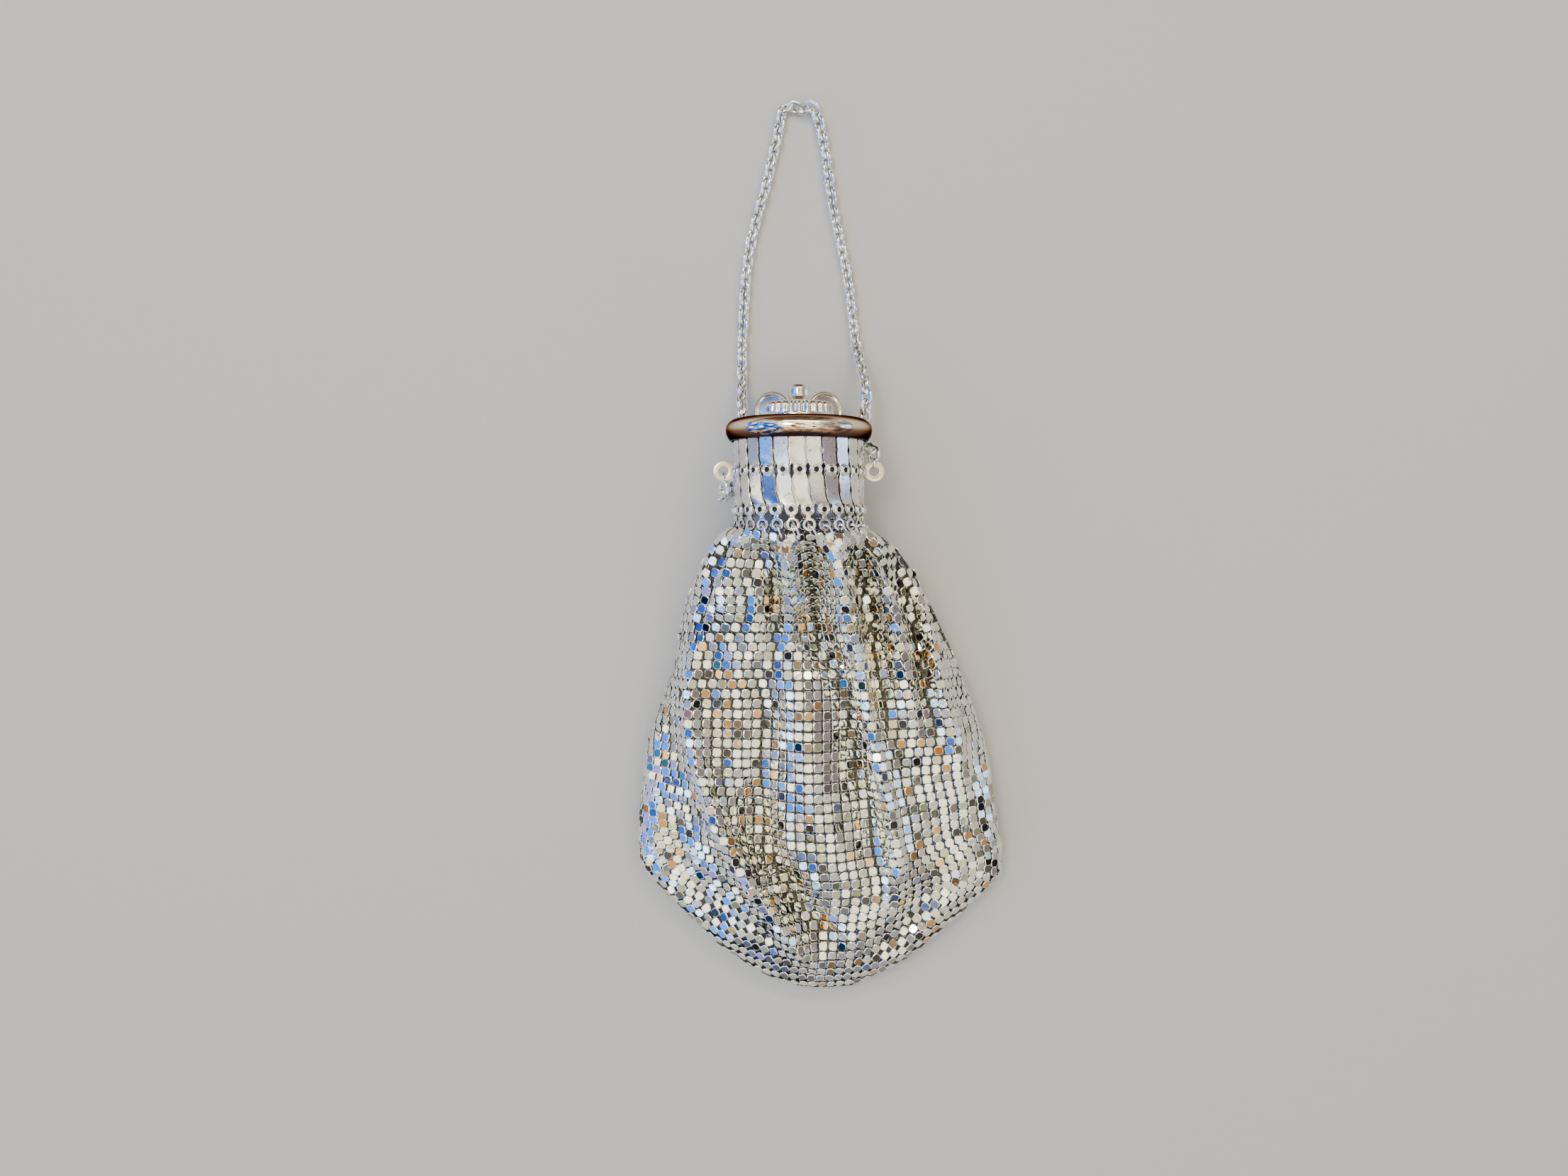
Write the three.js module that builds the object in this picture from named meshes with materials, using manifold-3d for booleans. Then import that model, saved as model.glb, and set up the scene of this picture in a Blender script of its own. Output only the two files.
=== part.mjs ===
// Collapse-top metal mesh purse lying on its back, in millimetres, +Z up.
// The chain handle leads toward +Y, the pouch toward -Y, and the neck's axis rises slightly toward +Y.
import * as THREE from 'three';
import { mergeVertices } from 'three/addons/utils/BufferGeometryUtils.js';
import Module from 'manifold-3d';

const wasm = await Module();
wasm.setup();

// Gap kept between two pieces that meet.
const CLEARANCE = 0.35;

// Neck: how far its axis is raised, and the lid that it rests on.
const NECK_TILT_DEG = 2.7;
const LID_OVERHANG = 2.45;
const LID_RIM_HEIGHT = 6.2;
const LID_LIFT = 0.113;
const LID_WALL = 1.0;

// Gate: the collar of crossing slats.
const GATE_RADIUS = 19.8;
const SLAT_COUNT = 26;
const SLAT_WIDTH = 3.4;
const SLAT_THICKNESS = 0.7;
const SLAT_SINK = 0.1;
const SLEEVE_WALL = 0.9;
const ROW_SPACING = 11.5;
const EYELET_RADIUS = 1.48;
const EYELET_HEIGHT = 0.45;
const LOOP_DROP = 4.4;
const LOOP_RADIUS = 2.0;
const LOOP_HOLE_RADIUS = 1.2;

// Lid furniture.
const BOSS_RADIUS = 10.4;
const BOSS_HEIGHT = 5.0;
const BOSS_FLUTES = 22;
const BOSS_FLUTE_DEPTH = 0.55;
const BOSS_FOOT = 1.0;
const KNOB_RADIUS = 3.3;
const KNOB_HEIGHT = 5.4;
const LOBE_RADIUS = 5.65;
const LOBE_THICKNESS = 1.2;
const LOBE_RIM = 0.9;
const LOBE_SPACING = 8.2;
const LOBE_YAW_DEG = 24;
const LOBE_RISE = 3.2;

// Side rings, jump rings and chain.
const SIDE_RING_RADIUS = 3.1;
const SIDE_RING_HOLE = 1.45;
const SIDE_RING_THICKNESS = 1.0;
const JUMP_RING_RADIUS = 1.9;
const JUMP_WIRE_RADIUS = 0.45;
const CHAIN_RADIUS = 1.5;
const CHAIN_SIDES = 8;
const CHAIN_STEPS = 60;
const NOTCH_HALF_WIDTH = 2.1;
const NOTCH_RIGHT_DEG = 110;
const NOTCH_LEFT_DEG = 234;

// Pouch.
const BAG_LENGTH = 145;
const BAG_HALF_WIDTH = 57.4;
const BAG_DEPTH = 24;
const BAG_WALL = 1.6;
const HOOK_WIRE_RADIUS = 0.4;
const UNDERSIDE_FLATNESS = 0.12;
const PLEAT_COUNT = 13;
const PLEAT_DEPTH = 1.7;

// Side profile of an outer slat. at is measured in ROW_SPACING from the lowest pivot row,
// and half is the half width as a share of SLAT_WIDTH.
const SLAT_EDGE = [
  { at: -0.16, half: 0.4 },
  { at: 0.15, half: 0.45 },
  { at: 0.5, half: 0.54 },
  { at: 0.85, half: 0.45 },
  { at: 1.15, half: 0.45 },
  { at: 1.5, half: 0.54 },
  { at: 2.27, half: 0.44 },
];

// Values that follow from the sizes above.
const TILT = THREE.MathUtils.degToRad(NECK_TILT_DEG);
const PITCH = (2 * Math.PI) / SLAT_COUNT;
const HALF_PITCH_ARC = GATE_RADIUS * PITCH * 0.5;
const SLEEVE_RADIUS = GATE_RADIUS - SLAT_THICKNESS + SLAT_SINK;
const GATE_TOP = SLAT_EDGE[SLAT_EDGE.length - 1].at * ROW_SPACING;
const LID_TOP = GATE_TOP + CLEARANCE + LID_WALL;
const RIM_TOP = LID_TOP - 0.4;
const RIM_BOTTOM = RIM_TOP - LID_RIM_HEIGHT;
const RIM_MIDDLE = (RIM_TOP + RIM_BOTTOM) / 2;
const LID_RADIUS = GATE_RADIUS + LID_OVERHANG;
const LID_BORE = GATE_RADIUS + CLEARANCE + 0.15;
const BOSS_BASE = LID_TOP + CLEARANCE;
const BOSS_TOP = BOSS_BASE + BOSS_HEIGHT;
const NECK_Y = GATE_RADIUS * Math.tan(TILT);
const NECK_Z = LID_RADIUS * Math.cos(TILT) - RIM_MIDDLE * Math.sin(TILT) + LID_LIFT;
const HOOK_ROOM = CLEARANCE + 2 * HOOK_WIRE_RADIUS;
const MOUTH_RADIUS = GATE_RADIUS + HOOK_ROOM;
const MOUTH_BORE = GATE_RADIUS - SLAT_THICKNESS - HOOK_ROOM;
const MOUTH_DROP = LOOP_DROP + LOOP_RADIUS + CLEARANCE;
const MOUTH_Y = NECK_Y - MOUTH_DROP * Math.cos(TILT);
const MOUTH_Z = NECK_Z - MOUTH_DROP * Math.sin(TILT);
const NOTCH_RADIUS = GATE_RADIUS + 2 * CLEARANCE + CHAIN_RADIUS;
const SIDE_RING_X = GATE_RADIUS + SIDE_RING_RADIUS;
const SIDE_RING_Y = ROW_SPACING + 0.3;

// Sections of the pouch from its mouth to its foot. at is a share of BAG_LENGTH; left and right are
// shares of BAG_HALF_WIDTH from the neck's axis; top and widest are heights as shares of BAG_DEPTH.
const MOUTH_SECTION = {
  at: 0,
  left: MOUTH_RADIUS / BAG_HALF_WIDTH,
  right: MOUTH_RADIUS / BAG_HALF_WIDTH,
  top: (MOUTH_Z + MOUTH_RADIUS) / BAG_DEPTH,
  widest: MOUTH_Z / BAG_DEPTH,
};
const SECTIONS = [
  MOUTH_SECTION,
  { at: 0.015, left: 0.42, right: 0.44, top: 1.73, widest: 0.8 },
  { at: 0.04, left: 0.5, right: 0.55, top: 1.67, widest: 0.66 },
  { at: 0.08, left: 0.55, right: 0.627, top: 1.55, widest: 0.52 },
  { at: 0.12, left: 0.596, right: 0.685, top: 1.42, widest: 0.44 },
  { at: 0.2, left: 0.655, right: 0.786, top: 1.2, widest: 0.36 },
  { at: 0.3, left: 0.704, right: 0.897, top: 1.06, widest: 0.33 },
  { at: 0.45, left: 0.829, right: 1.028, top: 0.96, widest: 0.31 },
  { at: 0.6, left: 0.875, right: 1.09, top: 0.9, widest: 0.3 },
  { at: 0.7, left: 0.876, right: 1.124, top: 0.85, widest: 0.28 },
  { at: 0.75, left: 0.81, right: 1.1, top: 0.8, widest: 0.27 },
  { at: 0.86, left: 0.54, right: 0.81, top: 0.68, widest: 0.24 },
  { at: 0.92, left: 0.371, right: 0.634, top: 0.57, widest: 0.21 },
  { at: 0.97, left: 0.17, right: 0.41, top: 0.41, widest: 0.17 },
  { at: 0.99, left: 0.01, right: 0.3, top: 0.29, widest: 0.15 },
  { at: 1, left: -0.155, right: 0.155, top: 0.14, widest: 0.14 },
];

// Main folds of the upper side. height is a share of BAG_DEPTH and is negative in a valley; width and
// across are shares of BAG_HALF_WIDTH; at is a share of BAG_LENGTH.
const FOLDS = [
  { height: 0.16, width: 0.075, path: [
    { at: 0.03, across: -0.45 }, { at: 0.23, across: -0.54 }, { at: 0.38, across: -0.58 },
    { at: 0.46, across: -0.58 }, { at: 0.53, across: -0.5 }, { at: 0.68, across: -0.4 },
    { at: 0.83, across: -0.25 }, { at: 0.94, across: 0.02 },
  ] },
  { height: -0.12, width: 0.1, path: [
    { at: 0.06, across: -0.27 }, { at: 0.3, across: -0.36 }, { at: 0.46, across: -0.4 },
    { at: 0.6, across: -0.27 }, { at: 0.76, across: -0.2 },
  ] },
  { height: 0.14, width: 0.075, path: [
    { at: 0.01, across: -0.07 }, { at: 0.1, across: -0.06 }, { at: 0.23, across: -0.04 },
  ] },
  { height: -0.22, width: 0.08, path: [
    { at: 0.03, across: 0.06 }, { at: 0.12, across: 0.08 }, { at: 0.2, across: 0.1 },
    { at: 0.29, across: 0.08 },
  ] },
  { height: 0.18, width: 0.07, path: [
    { at: 0.02, across: 0.14 }, { at: 0.15, across: 0.18 }, { at: 0.25, across: 0.25 },
    { at: 0.38, across: 0.31 }, { at: 0.54, across: 0.41 }, { at: 0.68, across: 0.47 },
    { at: 0.86, across: 0.48 },
  ] },
  { height: -0.12, width: 0.08, path: [
    { at: 0.06, across: 0.32 }, { at: 0.2, across: 0.42 }, { at: 0.38, across: 0.52 },
    { at: 0.58, across: 0.63 }, { at: 0.8, across: 0.62 },
  ] },
  { height: 0.14, width: 0.075, path: [
    { at: 0.05, across: 0.41 }, { at: 0.14, across: 0.51 }, { at: 0.2, across: 0.61 },
    { at: 0.35, across: 0.73 }, { at: 0.54, across: 0.86 }, { at: 0.66, across: 0.9 },
  ] },
  { height: -0.07, width: 0.07, path: [
    { at: 0.6, across: -0.16 }, { at: 0.7, across: -0.12 }, { at: 0.8, across: 0.1 },
  ] },
];

// Centreline of the chain handle where it lies on the table: x from the neck's axis and y from the
// lowest pivot row, from the left leg over the far bend to the right leg.
const CHAIN_ON_TABLE = [
  [-18.4, 46], [-18.2, 55], [-17.5, 65], [-16.8, 76], [-15.4, 87], [-13.2, 98], [-10.4, 109.5],
  [-7.6, 119.5], [-5.2, 127.3], [-0.2, 130.6], [4.9, 127.4], [8.0, 119.5], [10.0, 109.3],
  [11.6, 98], [13.9, 86.5], [16.2, 75.1], [17.8, 63.7], [19.2, 54],
];

function toSolid(geometry) {
  const bare = geometry.index ? geometry.toNonIndexed() : geometry.clone();
  bare.deleteAttribute('normal');
  bare.deleteAttribute('uv');
  const merged = mergeVertices(bare, 1e-4);
  const mesh = new wasm.Mesh({
    numProp: 3,
    vertProperties: new Float32Array(merged.attributes.position.array),
    triVerts: new Uint32Array(merged.index.array),
  });
  return new wasm.Manifold(mesh);
}

function toGeometry(solid) {
  const mesh = solid.getMesh();
  const geometry = new THREE.BufferGeometry();
  geometry.setAttribute('position', new THREE.BufferAttribute(new Float32Array(mesh.vertProperties), 3));
  geometry.setIndex(new THREE.BufferAttribute(new Uint32Array(mesh.triVerts), 1));
  return geometry;
}

function addAll(solids) {
  let level = solids;
  while (level.length > 1) {
    const next = [];
    for (let i = 0; i < level.length; i += 2) {
      next.push(i + 1 < level.length ? level[i].add(level[i + 1]) : level[i]);
    }
    level = next;
  }
  return level[0];
}

function moved(geometry, matrix) {
  const copy = geometry.clone();
  copy.applyMatrix4(matrix);
  return copy;
}

// Bends flat geometry round the neck's axis: x becomes arc length, y stays along the axis and z is
// the height above the given radius.
function bend(geometry, radius, turn) {
  const position = geometry.attributes.position;
  for (let i = 0; i < position.count; i += 1) {
    const angle = position.getX(i) / radius + turn;
    const r = radius + position.getZ(i);
    position.setXYZ(i, r * Math.sin(angle), position.getY(i), r * Math.cos(angle));
  }
  return geometry;
}

function lean(v) {
  return (-v * HALF_PITCH_ARC) / ROW_SPACING;
}

function lathe(profile, segments) {
  const points = profile.map(([r, y]) => new THREE.Vector2(r, y));
  return new THREE.LatheGeometry(points, segments);
}

function circleHole(x, y, radius, sides) {
  const hole = new THREE.Path();
  for (let i = 0; i < sides; i += 1) {
    const a = -(i * 2 * Math.PI) / sides;
    const px = x + radius * Math.cos(a);
    const py = y + radius * Math.sin(a);
    if (i === 0) {
      hole.moveTo(px, py);
    } else {
      hole.lineTo(px, py);
    }
  }
  hole.closePath();
  return hole;
}

// Joins ring a to ring b, which may differ in count. Both run the same way round.
function band(faces, a, b) {
  let i = 0;
  let j = 0;
  while (i < a.length || j < b.length) {
    const stepA = j >= b.length || (i < a.length && (i + 0.5) / a.length <= (j + 0.5) / b.length);
    const p = a[i % a.length];
    const q = b[j % b.length];
    if (stepA) {
      faces.push(p, a[(i + 1) % a.length], q);
      i += 1;
    } else {
      faces.push(p, b[(j + 1) % b.length], q);
      j += 1;
    }
  }
}

function fromFaces(vertices, faces) {
  const geometry = new THREE.BufferGeometry();
  geometry.setAttribute('position', new THREE.BufferAttribute(new Float32Array(vertices), 3));
  geometry.setIndex(faces);
  return geometry;
}

// The collar's wall: leaning outer slats with scalloped edges, standing up from the inner layer.
function gateWall() {
  const vertices = [];
  const faces = [];
  const ring = (v, half) => {
    const ids = [];
    for (let i = 0; i < SLAT_COUNT; i += 1) {
      const middle = (i + 0.5) * PITCH + lean(v) / GATE_RADIUS;
      const reach = half / GATE_RADIUS;
      for (const [angle, r] of [
        [middle - reach, SLEEVE_RADIUS],
        [middle - reach, GATE_RADIUS],
        [middle + reach, GATE_RADIUS],
        [middle + reach, SLEEVE_RADIUS],
      ]) {
        ids.push(vertices.length / 3);
        vertices.push(r * Math.sin(angle), v, r * Math.cos(angle));
      }
    }
    return ids;
  };
  const bore = (v) => {
    const ids = [];
    for (let i = 0; i < SLAT_COUNT; i += 1) {
      const angle = (i + 0.5) * PITCH + lean(v) / GATE_RADIUS;
      const r = SLEEVE_RADIUS - SLEEVE_WALL;
      ids.push(vertices.length / 3);
      vertices.push(r * Math.sin(angle), v, r * Math.cos(angle));
    }
    return ids;
  };
  const rings = SLAT_EDGE.map(({ at, half }) => ring(at * ROW_SPACING, half * SLAT_WIDTH));
  for (let k = 0; k + 1 < rings.length; k += 1) {
    band(faces, rings[k], rings[k + 1]);
  }
  const low = bore(SLAT_EDGE[0].at * ROW_SPACING);
  const high = bore(SLAT_EDGE[SLAT_EDGE.length - 1].at * ROW_SPACING);
  band(faces, low, rings[0]);
  band(faces, rings[rings.length - 1], high);
  band(faces, high, low);
  return fromFaces(vertices, faces);
}

// The ring-shaped end of an outer slat, flat, with its stem.
function loopShape() {
  const x = lean(-LOOP_DROP);
  const stem = LOOP_RADIUS * 0.42;
  const root = SLAT_EDGE[0].at * ROW_SPACING + 0.4;
  const outline = [
    new THREE.Vector2(lean(root) + stem, root),
    new THREE.Vector2(lean(root) - stem, root),
  ];
  const sides = 6;
  for (let i = 0; i <= sides; i += 1) {
    const a = THREE.MathUtils.degToRad(120 + (300 * i) / sides);
    outline.push(new THREE.Vector2(x + LOOP_RADIUS * Math.cos(a), -LOOP_DROP + LOOP_RADIUS * Math.sin(a)));
  }
  const shape = new THREE.Shape(outline);
  shape.holes.push(circleHole(x, -LOOP_DROP, LOOP_HOLE_RADIUS, 6));
  return shape;
}

function buildGate() {
  const inset = 0.04;
  const loop = new THREE.ExtrudeGeometry(loopShape(), {
    depth: SLAT_THICKNESS - 2 * inset,
    steps: 1,
    bevelEnabled: false,
    curveSegments: 1,
  });
  loop.translate(0, 0, inset - SLAT_THICKNESS);
  const sunk = SLAT_THICKNESS / 2;
  const eyelet = new THREE.CylinderGeometry(EYELET_RADIUS, EYELET_RADIUS, EYELET_HEIGHT + sunk, 6);
  eyelet.rotateX(Math.PI / 2);
  eyelet.translate(0, 0, (EYELET_HEIGHT - sunk) / 2);
  const solids = [toSolid(gateWall())];
  for (let i = 0; i < SLAT_COUNT; i += 1) {
    const turn = (i + 0.5) * PITCH;
    solids.push(toSolid(bend(loop.clone(), GATE_RADIUS, turn)));
    for (const row of [0, ROW_SPACING]) {
      const place = new THREE.Matrix4().makeRotationY(turn + lean(row) / GATE_RADIUS);
      place.multiply(new THREE.Matrix4().makeTranslation(0, row, GATE_RADIUS));
      solids.push(toSolid(moved(eyelet, place)));
    }
  }
  return toGeometry(addAll(solids));
}

function buildLid() {
  const bulge = LID_RADIUS;
  const shell = lathe([
    [0, LID_TOP],
    [0, LID_TOP - LID_WALL],
    [LID_BORE, LID_TOP - LID_WALL],
    [LID_BORE, RIM_BOTTOM],
    [bulge - 1.0, RIM_BOTTOM],
    [bulge - 0.2, RIM_BOTTOM + 1.3],
    [bulge, RIM_MIDDLE],
    [bulge - 0.2, RIM_TOP - 1.3],
    [bulge - 1.0, RIM_TOP],
    [bulge - 2.6, LID_TOP],
    [0, LID_TOP],
  ], 40);
  let solid = toSolid(shell);
  for (const degrees of [NOTCH_RIGHT_DEG, NOTCH_LEFT_DEG]) {
    const depth = LID_RADIUS - NOTCH_RADIUS + CHAIN_RADIUS + CLEARANCE;
    const cutter = new THREE.BoxGeometry(2 * NOTCH_HALF_WIDTH, LID_RIM_HEIGHT * 2, 2 * depth);
    const place = new THREE.Matrix4().makeRotationY(THREE.MathUtils.degToRad(degrees));
    place.multiply(new THREE.Matrix4().makeTranslation(0, RIM_MIDDLE, LID_RADIUS));
    solid = solid.subtract(toSolid(moved(cutter, place)));
  }
  return toGeometry(solid);
}

// A drum whose side is crimped into flutes above a plain foot.
function buildBoss() {
  const outline = [];
  for (let i = 0; i < BOSS_FLUTES; i += 1) {
    const step = (2 * Math.PI) / BOSS_FLUTES;
    for (const [part, r] of [
      [0, BOSS_RADIUS],
      [0.36, BOSS_RADIUS],
      [0.68, BOSS_RADIUS - BOSS_FLUTE_DEPTH],
    ]) {
      const a = (i + part) * step;
      outline.push(new THREE.Vector2(r * Math.cos(a), r * Math.sin(a)));
    }
  }
  const drum = new THREE.ExtrudeGeometry(new THREE.Shape(outline), {
    depth: BOSS_HEIGHT - BOSS_FOOT / 2,
    steps: 1,
    bevelEnabled: false,
  });
  drum.rotateX(-Math.PI / 2);
  drum.translate(0, BOSS_BASE + BOSS_FOOT / 2, 0);
  const foot = new THREE.CylinderGeometry(
    BOSS_RADIUS + 0.3, BOSS_RADIUS + 0.3, BOSS_FOOT, BOSS_FLUTES,
  );
  foot.translate(0, BOSS_BASE + BOSS_FOOT / 2, 0);
  return toGeometry(toSolid(drum).add(toSolid(foot)));
}

function buildKnob() {
  const base = BOSS_TOP + CLEARANCE;
  return lathe([
    [0, base],
    [KNOB_RADIUS * 0.72, base],
    [KNOB_RADIUS, base + KNOB_HEIGHT * 0.3],
    [KNOB_RADIUS, base + KNOB_HEIGHT * 0.78],
    [KNOB_RADIUS * 0.8, base + KNOB_HEIGHT],
    [0, base + KNOB_HEIGHT],
  ], 14);
}

// An upright disc with a raised rim on both faces, cut flat where it stands on the lid.
function buildLobe(side) {
  const half = LOBE_THICKNESS / 2;
  const disc = lathe([
    [0, half * 0.55],
    [LOBE_RADIUS - LOBE_RIM * 1.3, half * 0.55],
    [LOBE_RADIUS - LOBE_RIM, half],
    [LOBE_RADIUS - 0.25, half],
    [LOBE_RADIUS, 0],
    [LOBE_RADIUS - 0.25, -half],
    [LOBE_RADIUS - LOBE_RIM, -half],
    [LOBE_RADIUS - LOBE_RIM * 1.3, -half * 0.55],
    [0, -half * 0.55],
  ].reverse(), 20);
  disc.rotateX(Math.PI / 2);
  const place = new THREE.Matrix4().makeTranslation(side * LOBE_SPACING, LID_TOP + LOBE_RISE, lobeDepth());
  place.multiply(new THREE.Matrix4().makeRotationY(side * THREE.MathUtils.degToRad(LOBE_YAW_DEG)));
  const below = new THREE.BoxGeometry(6 * LOBE_RADIUS, 2 * LOBE_RADIUS, 6 * LOBE_RADIUS);
  below.translate(0, LID_TOP + CLEARANCE - LOBE_RADIUS, 0);
  const drumRoom = new THREE.CylinderGeometry(
    BOSS_RADIUS + 0.3 + CLEARANCE, BOSS_RADIUS + 0.3 + CLEARANCE, BOSS_HEIGHT + 2 * CLEARANCE, BOSS_FLUTES * 2,
  );
  drumRoom.translate(0, BOSS_BASE + BOSS_HEIGHT / 2, 0);
  return toGeometry(toSolid(moved(disc, place)).subtract(toSolid(below)).subtract(toSolid(drumRoom)));
}

function lobeDepth() {
  return -BOSS_RADIUS * 0.62;
}

// A flat ring that stands out from the collar, cut to the collar's round.
function buildSideRing(side) {
  const shape = new THREE.Shape(circleHole(0, 0, SIDE_RING_RADIUS, 18).getPoints().reverse());
  shape.holes.push(circleHole(0, 0, SIDE_RING_HOLE, 12));
  const ring = new THREE.ExtrudeGeometry(shape, {
    depth: SIDE_RING_THICKNESS,
    steps: 1,
    bevelEnabled: false,
  });
  ring.translate(side * SIDE_RING_X, SIDE_RING_Y, -SIDE_RING_THICKNESS / 2);
  const room = new THREE.CylinderGeometry(
    GATE_RADIUS + CLEARANCE, GATE_RADIUS + CLEARANCE, 4 * SIDE_RING_RADIUS, SLAT_COUNT * 2,
  );
  room.translate(0, SIDE_RING_Y, 0);
  return toGeometry(toSolid(ring).subtract(toSolid(room)));
}

// Interpolates column key of a table of rows sorted by at, with slopes from neighbouring rows.
function columnAt(rows, key, at) {
  const last = rows.length - 1;
  const t = THREE.MathUtils.clamp(at, rows[0].at, rows[last].at);
  let i = 0;
  while (i < last - 1 && t > rows[i + 1].at) {
    i += 1;
  }
  const slope = (j) => {
    const a = rows[Math.max(j - 1, 0)];
    const b = rows[Math.min(j + 1, last)];
    return (b[key] - a[key]) / (b.at - a.at);
  };
  const width = rows[i + 1].at - rows[i].at;
  const s = (t - rows[i].at) / width;
  const s2 = s * s;
  const s3 = s2 * s;
  return (2 * s3 - 3 * s2 + 1) * rows[i][key]
    + (s3 - 2 * s2 + s) * width * slope(i)
    + (3 * s2 - 2 * s3) * rows[i + 1][key]
    + (s3 - s2) * width * slope(i + 1);
}

function foldHeight(x, at) {
  let height = 0;
  for (const fold of FOLDS) {
    const first = fold.path[0].at;
    const end = fold.path[fold.path.length - 1].at;
    const fadeIn = THREE.MathUtils.smoothstep(at, first - 0.03, first + 0.05);
    const fadeOut = 1 - THREE.MathUtils.smoothstep(at, end - 0.05, end + 0.05);
    const offset = (x / BAG_HALF_WIDTH - columnAt(fold.path, 'across', at)) / fold.width;
    height += fold.height * BAG_DEPTH * fadeIn * fadeOut * Math.exp(-offset * offset);
  }
  return height;
}

function power(value, exponent) {
  return Math.sign(value) * Math.abs(value) ** exponent;
}

// Outer face of the pouch: angle runs round a section from its right edge over the upper side.
function bagPoint(angle, at) {
  const left = columnAt(SECTIONS, 'left', at) * BAG_HALF_WIDTH;
  const right = columnAt(SECTIONS, 'right', at) * BAG_HALF_WIDTH;
  const top = columnAt(SECTIONS, 'top', at) * BAG_DEPTH;
  const widest = columnAt(SECTIONS, 'widest', at) * BAG_DEPTH;
  const flatness = THREE.MathUtils.smoothstep(at, 0.02, 0.3);
  const c = power(Math.cos(angle), 1 - 0.12 * flatness);
  const upper = Math.sin(angle) > 0;
  const s = power(Math.sin(angle), upper ? 1 - 0.1 * flatness : 1 - 0.45 * flatness);
  const fadePleat = THREE.MathUtils.smoothstep(at, 0, 0.05) * (1 - THREE.MathUtils.smoothstep(at, 0.1, 0.34));
  const pleat = PLEAT_DEPTH * fadePleat * Math.cos(PLEAT_COUNT * angle + 0.6);
  const halfWidth = (left + right) / 2;
  const centre = (right - left) / 2;
  const mouth = 1 - THREE.MathUtils.smoothstep(at, 0, 0.14);
  const x = centre + (halfWidth + pleat) * c;
  const below = widest * (1 + UNDERSIDE_FLATNESS * flatness);
  let z = widest + (upper ? top - widest + pleat : below + pleat) * s;
  if (upper) {
    z += foldHeight(x, at) * Math.min(1, 1.7 * s);
  }
  const y = MOUTH_Y - at * BAG_LENGTH - mouth * (z - MOUTH_Z) * Math.tan(TILT);
  return new THREE.Vector3(x, y, Math.max(z, 0));
}

// A point of the inner face, one wall inside the outer face along its normal.
function bagInner(angle, at) {
  const step = 0.02;
  const low = Math.max(at - step, 0);
  const high = Math.min(at + step, 0.995);
  const round = bagPoint(angle + 0.05, at).sub(bagPoint(angle - 0.05, at));
  const along = bagPoint(angle, high).sub(bagPoint(angle, low));
  const normal = round.cross(along).normalize();
  return bagPoint(angle, at).addScaledVector(normal, -BAG_WALL);
}

function rowShare(t) {
  return THREE.MathUtils.lerp(t, (1 - Math.cos(Math.PI * t)) / 2, 0.78);
}

function buildBag() {
  const around = 4 * PLEAT_COUNT;
  const rows = 21;
  const innerAround = 2 * PLEAT_COUNT;
  const innerRows = 10;
  const vertices = [];
  const faces = [];
  const add = (p) => {
    vertices.push(p.x, p.y, p.z);
    return vertices.length / 3 - 1;
  };
  const ring = (count, at, place) => {
    const ids = [];
    for (let i = 0; i < count; i += 1) {
      ids.push(add(place((2 * Math.PI * i) / count, at)));
    }
    return ids;
  };
  let previous = ring(around, 0, bagPoint);
  const outerMouth = previous;
  for (let k = 1; k < rows; k += 1) {
    const next = ring(around, rowShare(k / rows), bagPoint);
    band(faces, previous, next);
    previous = next;
  }
  const foot = add(bagPoint(0, 1));
  for (let i = 0; i < around; i += 1) {
    faces.push(previous[i], previous[(i + 1) % around], foot);
  }
  const mouthInner = (angle) => {
    const r = MOUTH_BORE;
    const lift = r * Math.sin(angle);
    return new THREE.Vector3(r * Math.cos(angle), MOUTH_Y - lift * Math.tan(TILT), MOUTH_Z + lift);
  };
  let inside = ring(innerAround, 0, mouthInner);
  band(faces, inside, outerMouth);
  for (let k = 1; k < innerRows; k += 1) {
    const next = ring(innerAround, rowShare(k / innerRows) * 0.985, bagInner);
    band(faces, next, inside);
    inside = next;
  }
  const middle = new THREE.Vector3();
  for (const id of inside) {
    middle.add(new THREE.Vector3(vertices[3 * id], vertices[3 * id + 1], vertices[3 * id + 2]));
  }
  middle.divideScalar(inside.length);
  const bottom = add(middle);
  for (let i = 0; i < innerAround; i += 1) {
    faces.push(inside[(i + 1) % innerAround], inside[i], bottom);
  }
  return fromFaces(vertices, faces);
}

function neckMatrix() {
  return new THREE.Matrix4().makeTranslation(0, NECK_Y, NECK_Z)
    .multiply(new THREE.Matrix4().makeRotationX(TILT));
}

// A point given in the neck's frame: angle from the top of the neck toward its right side.
function neckPoint(degrees, radius, along) {
  const a = THREE.MathUtils.degToRad(degrees);
  return new THREE.Vector3(radius * Math.sin(a), along, radius * Math.cos(a)).applyMatrix4(neckMatrix());
}

// The jump ring hangs on the band of the side ring: below it on the left, above it on the right.
function jumpCentre(side) {
  const out = (SIDE_RING_RADIUS + SIDE_RING_HOLE) / 2;
  return new THREE.Vector3(side * SIDE_RING_X, SIDE_RING_Y + side * out, 0);
}

function chainEnd(side, further) {
  const end = jumpCentre(side);
  end.y += side * (JUMP_RING_RADIUS + JUMP_WIRE_RADIUS + 2 * CLEARANCE + further);
  return end.applyMatrix4(neckMatrix());
}

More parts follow.
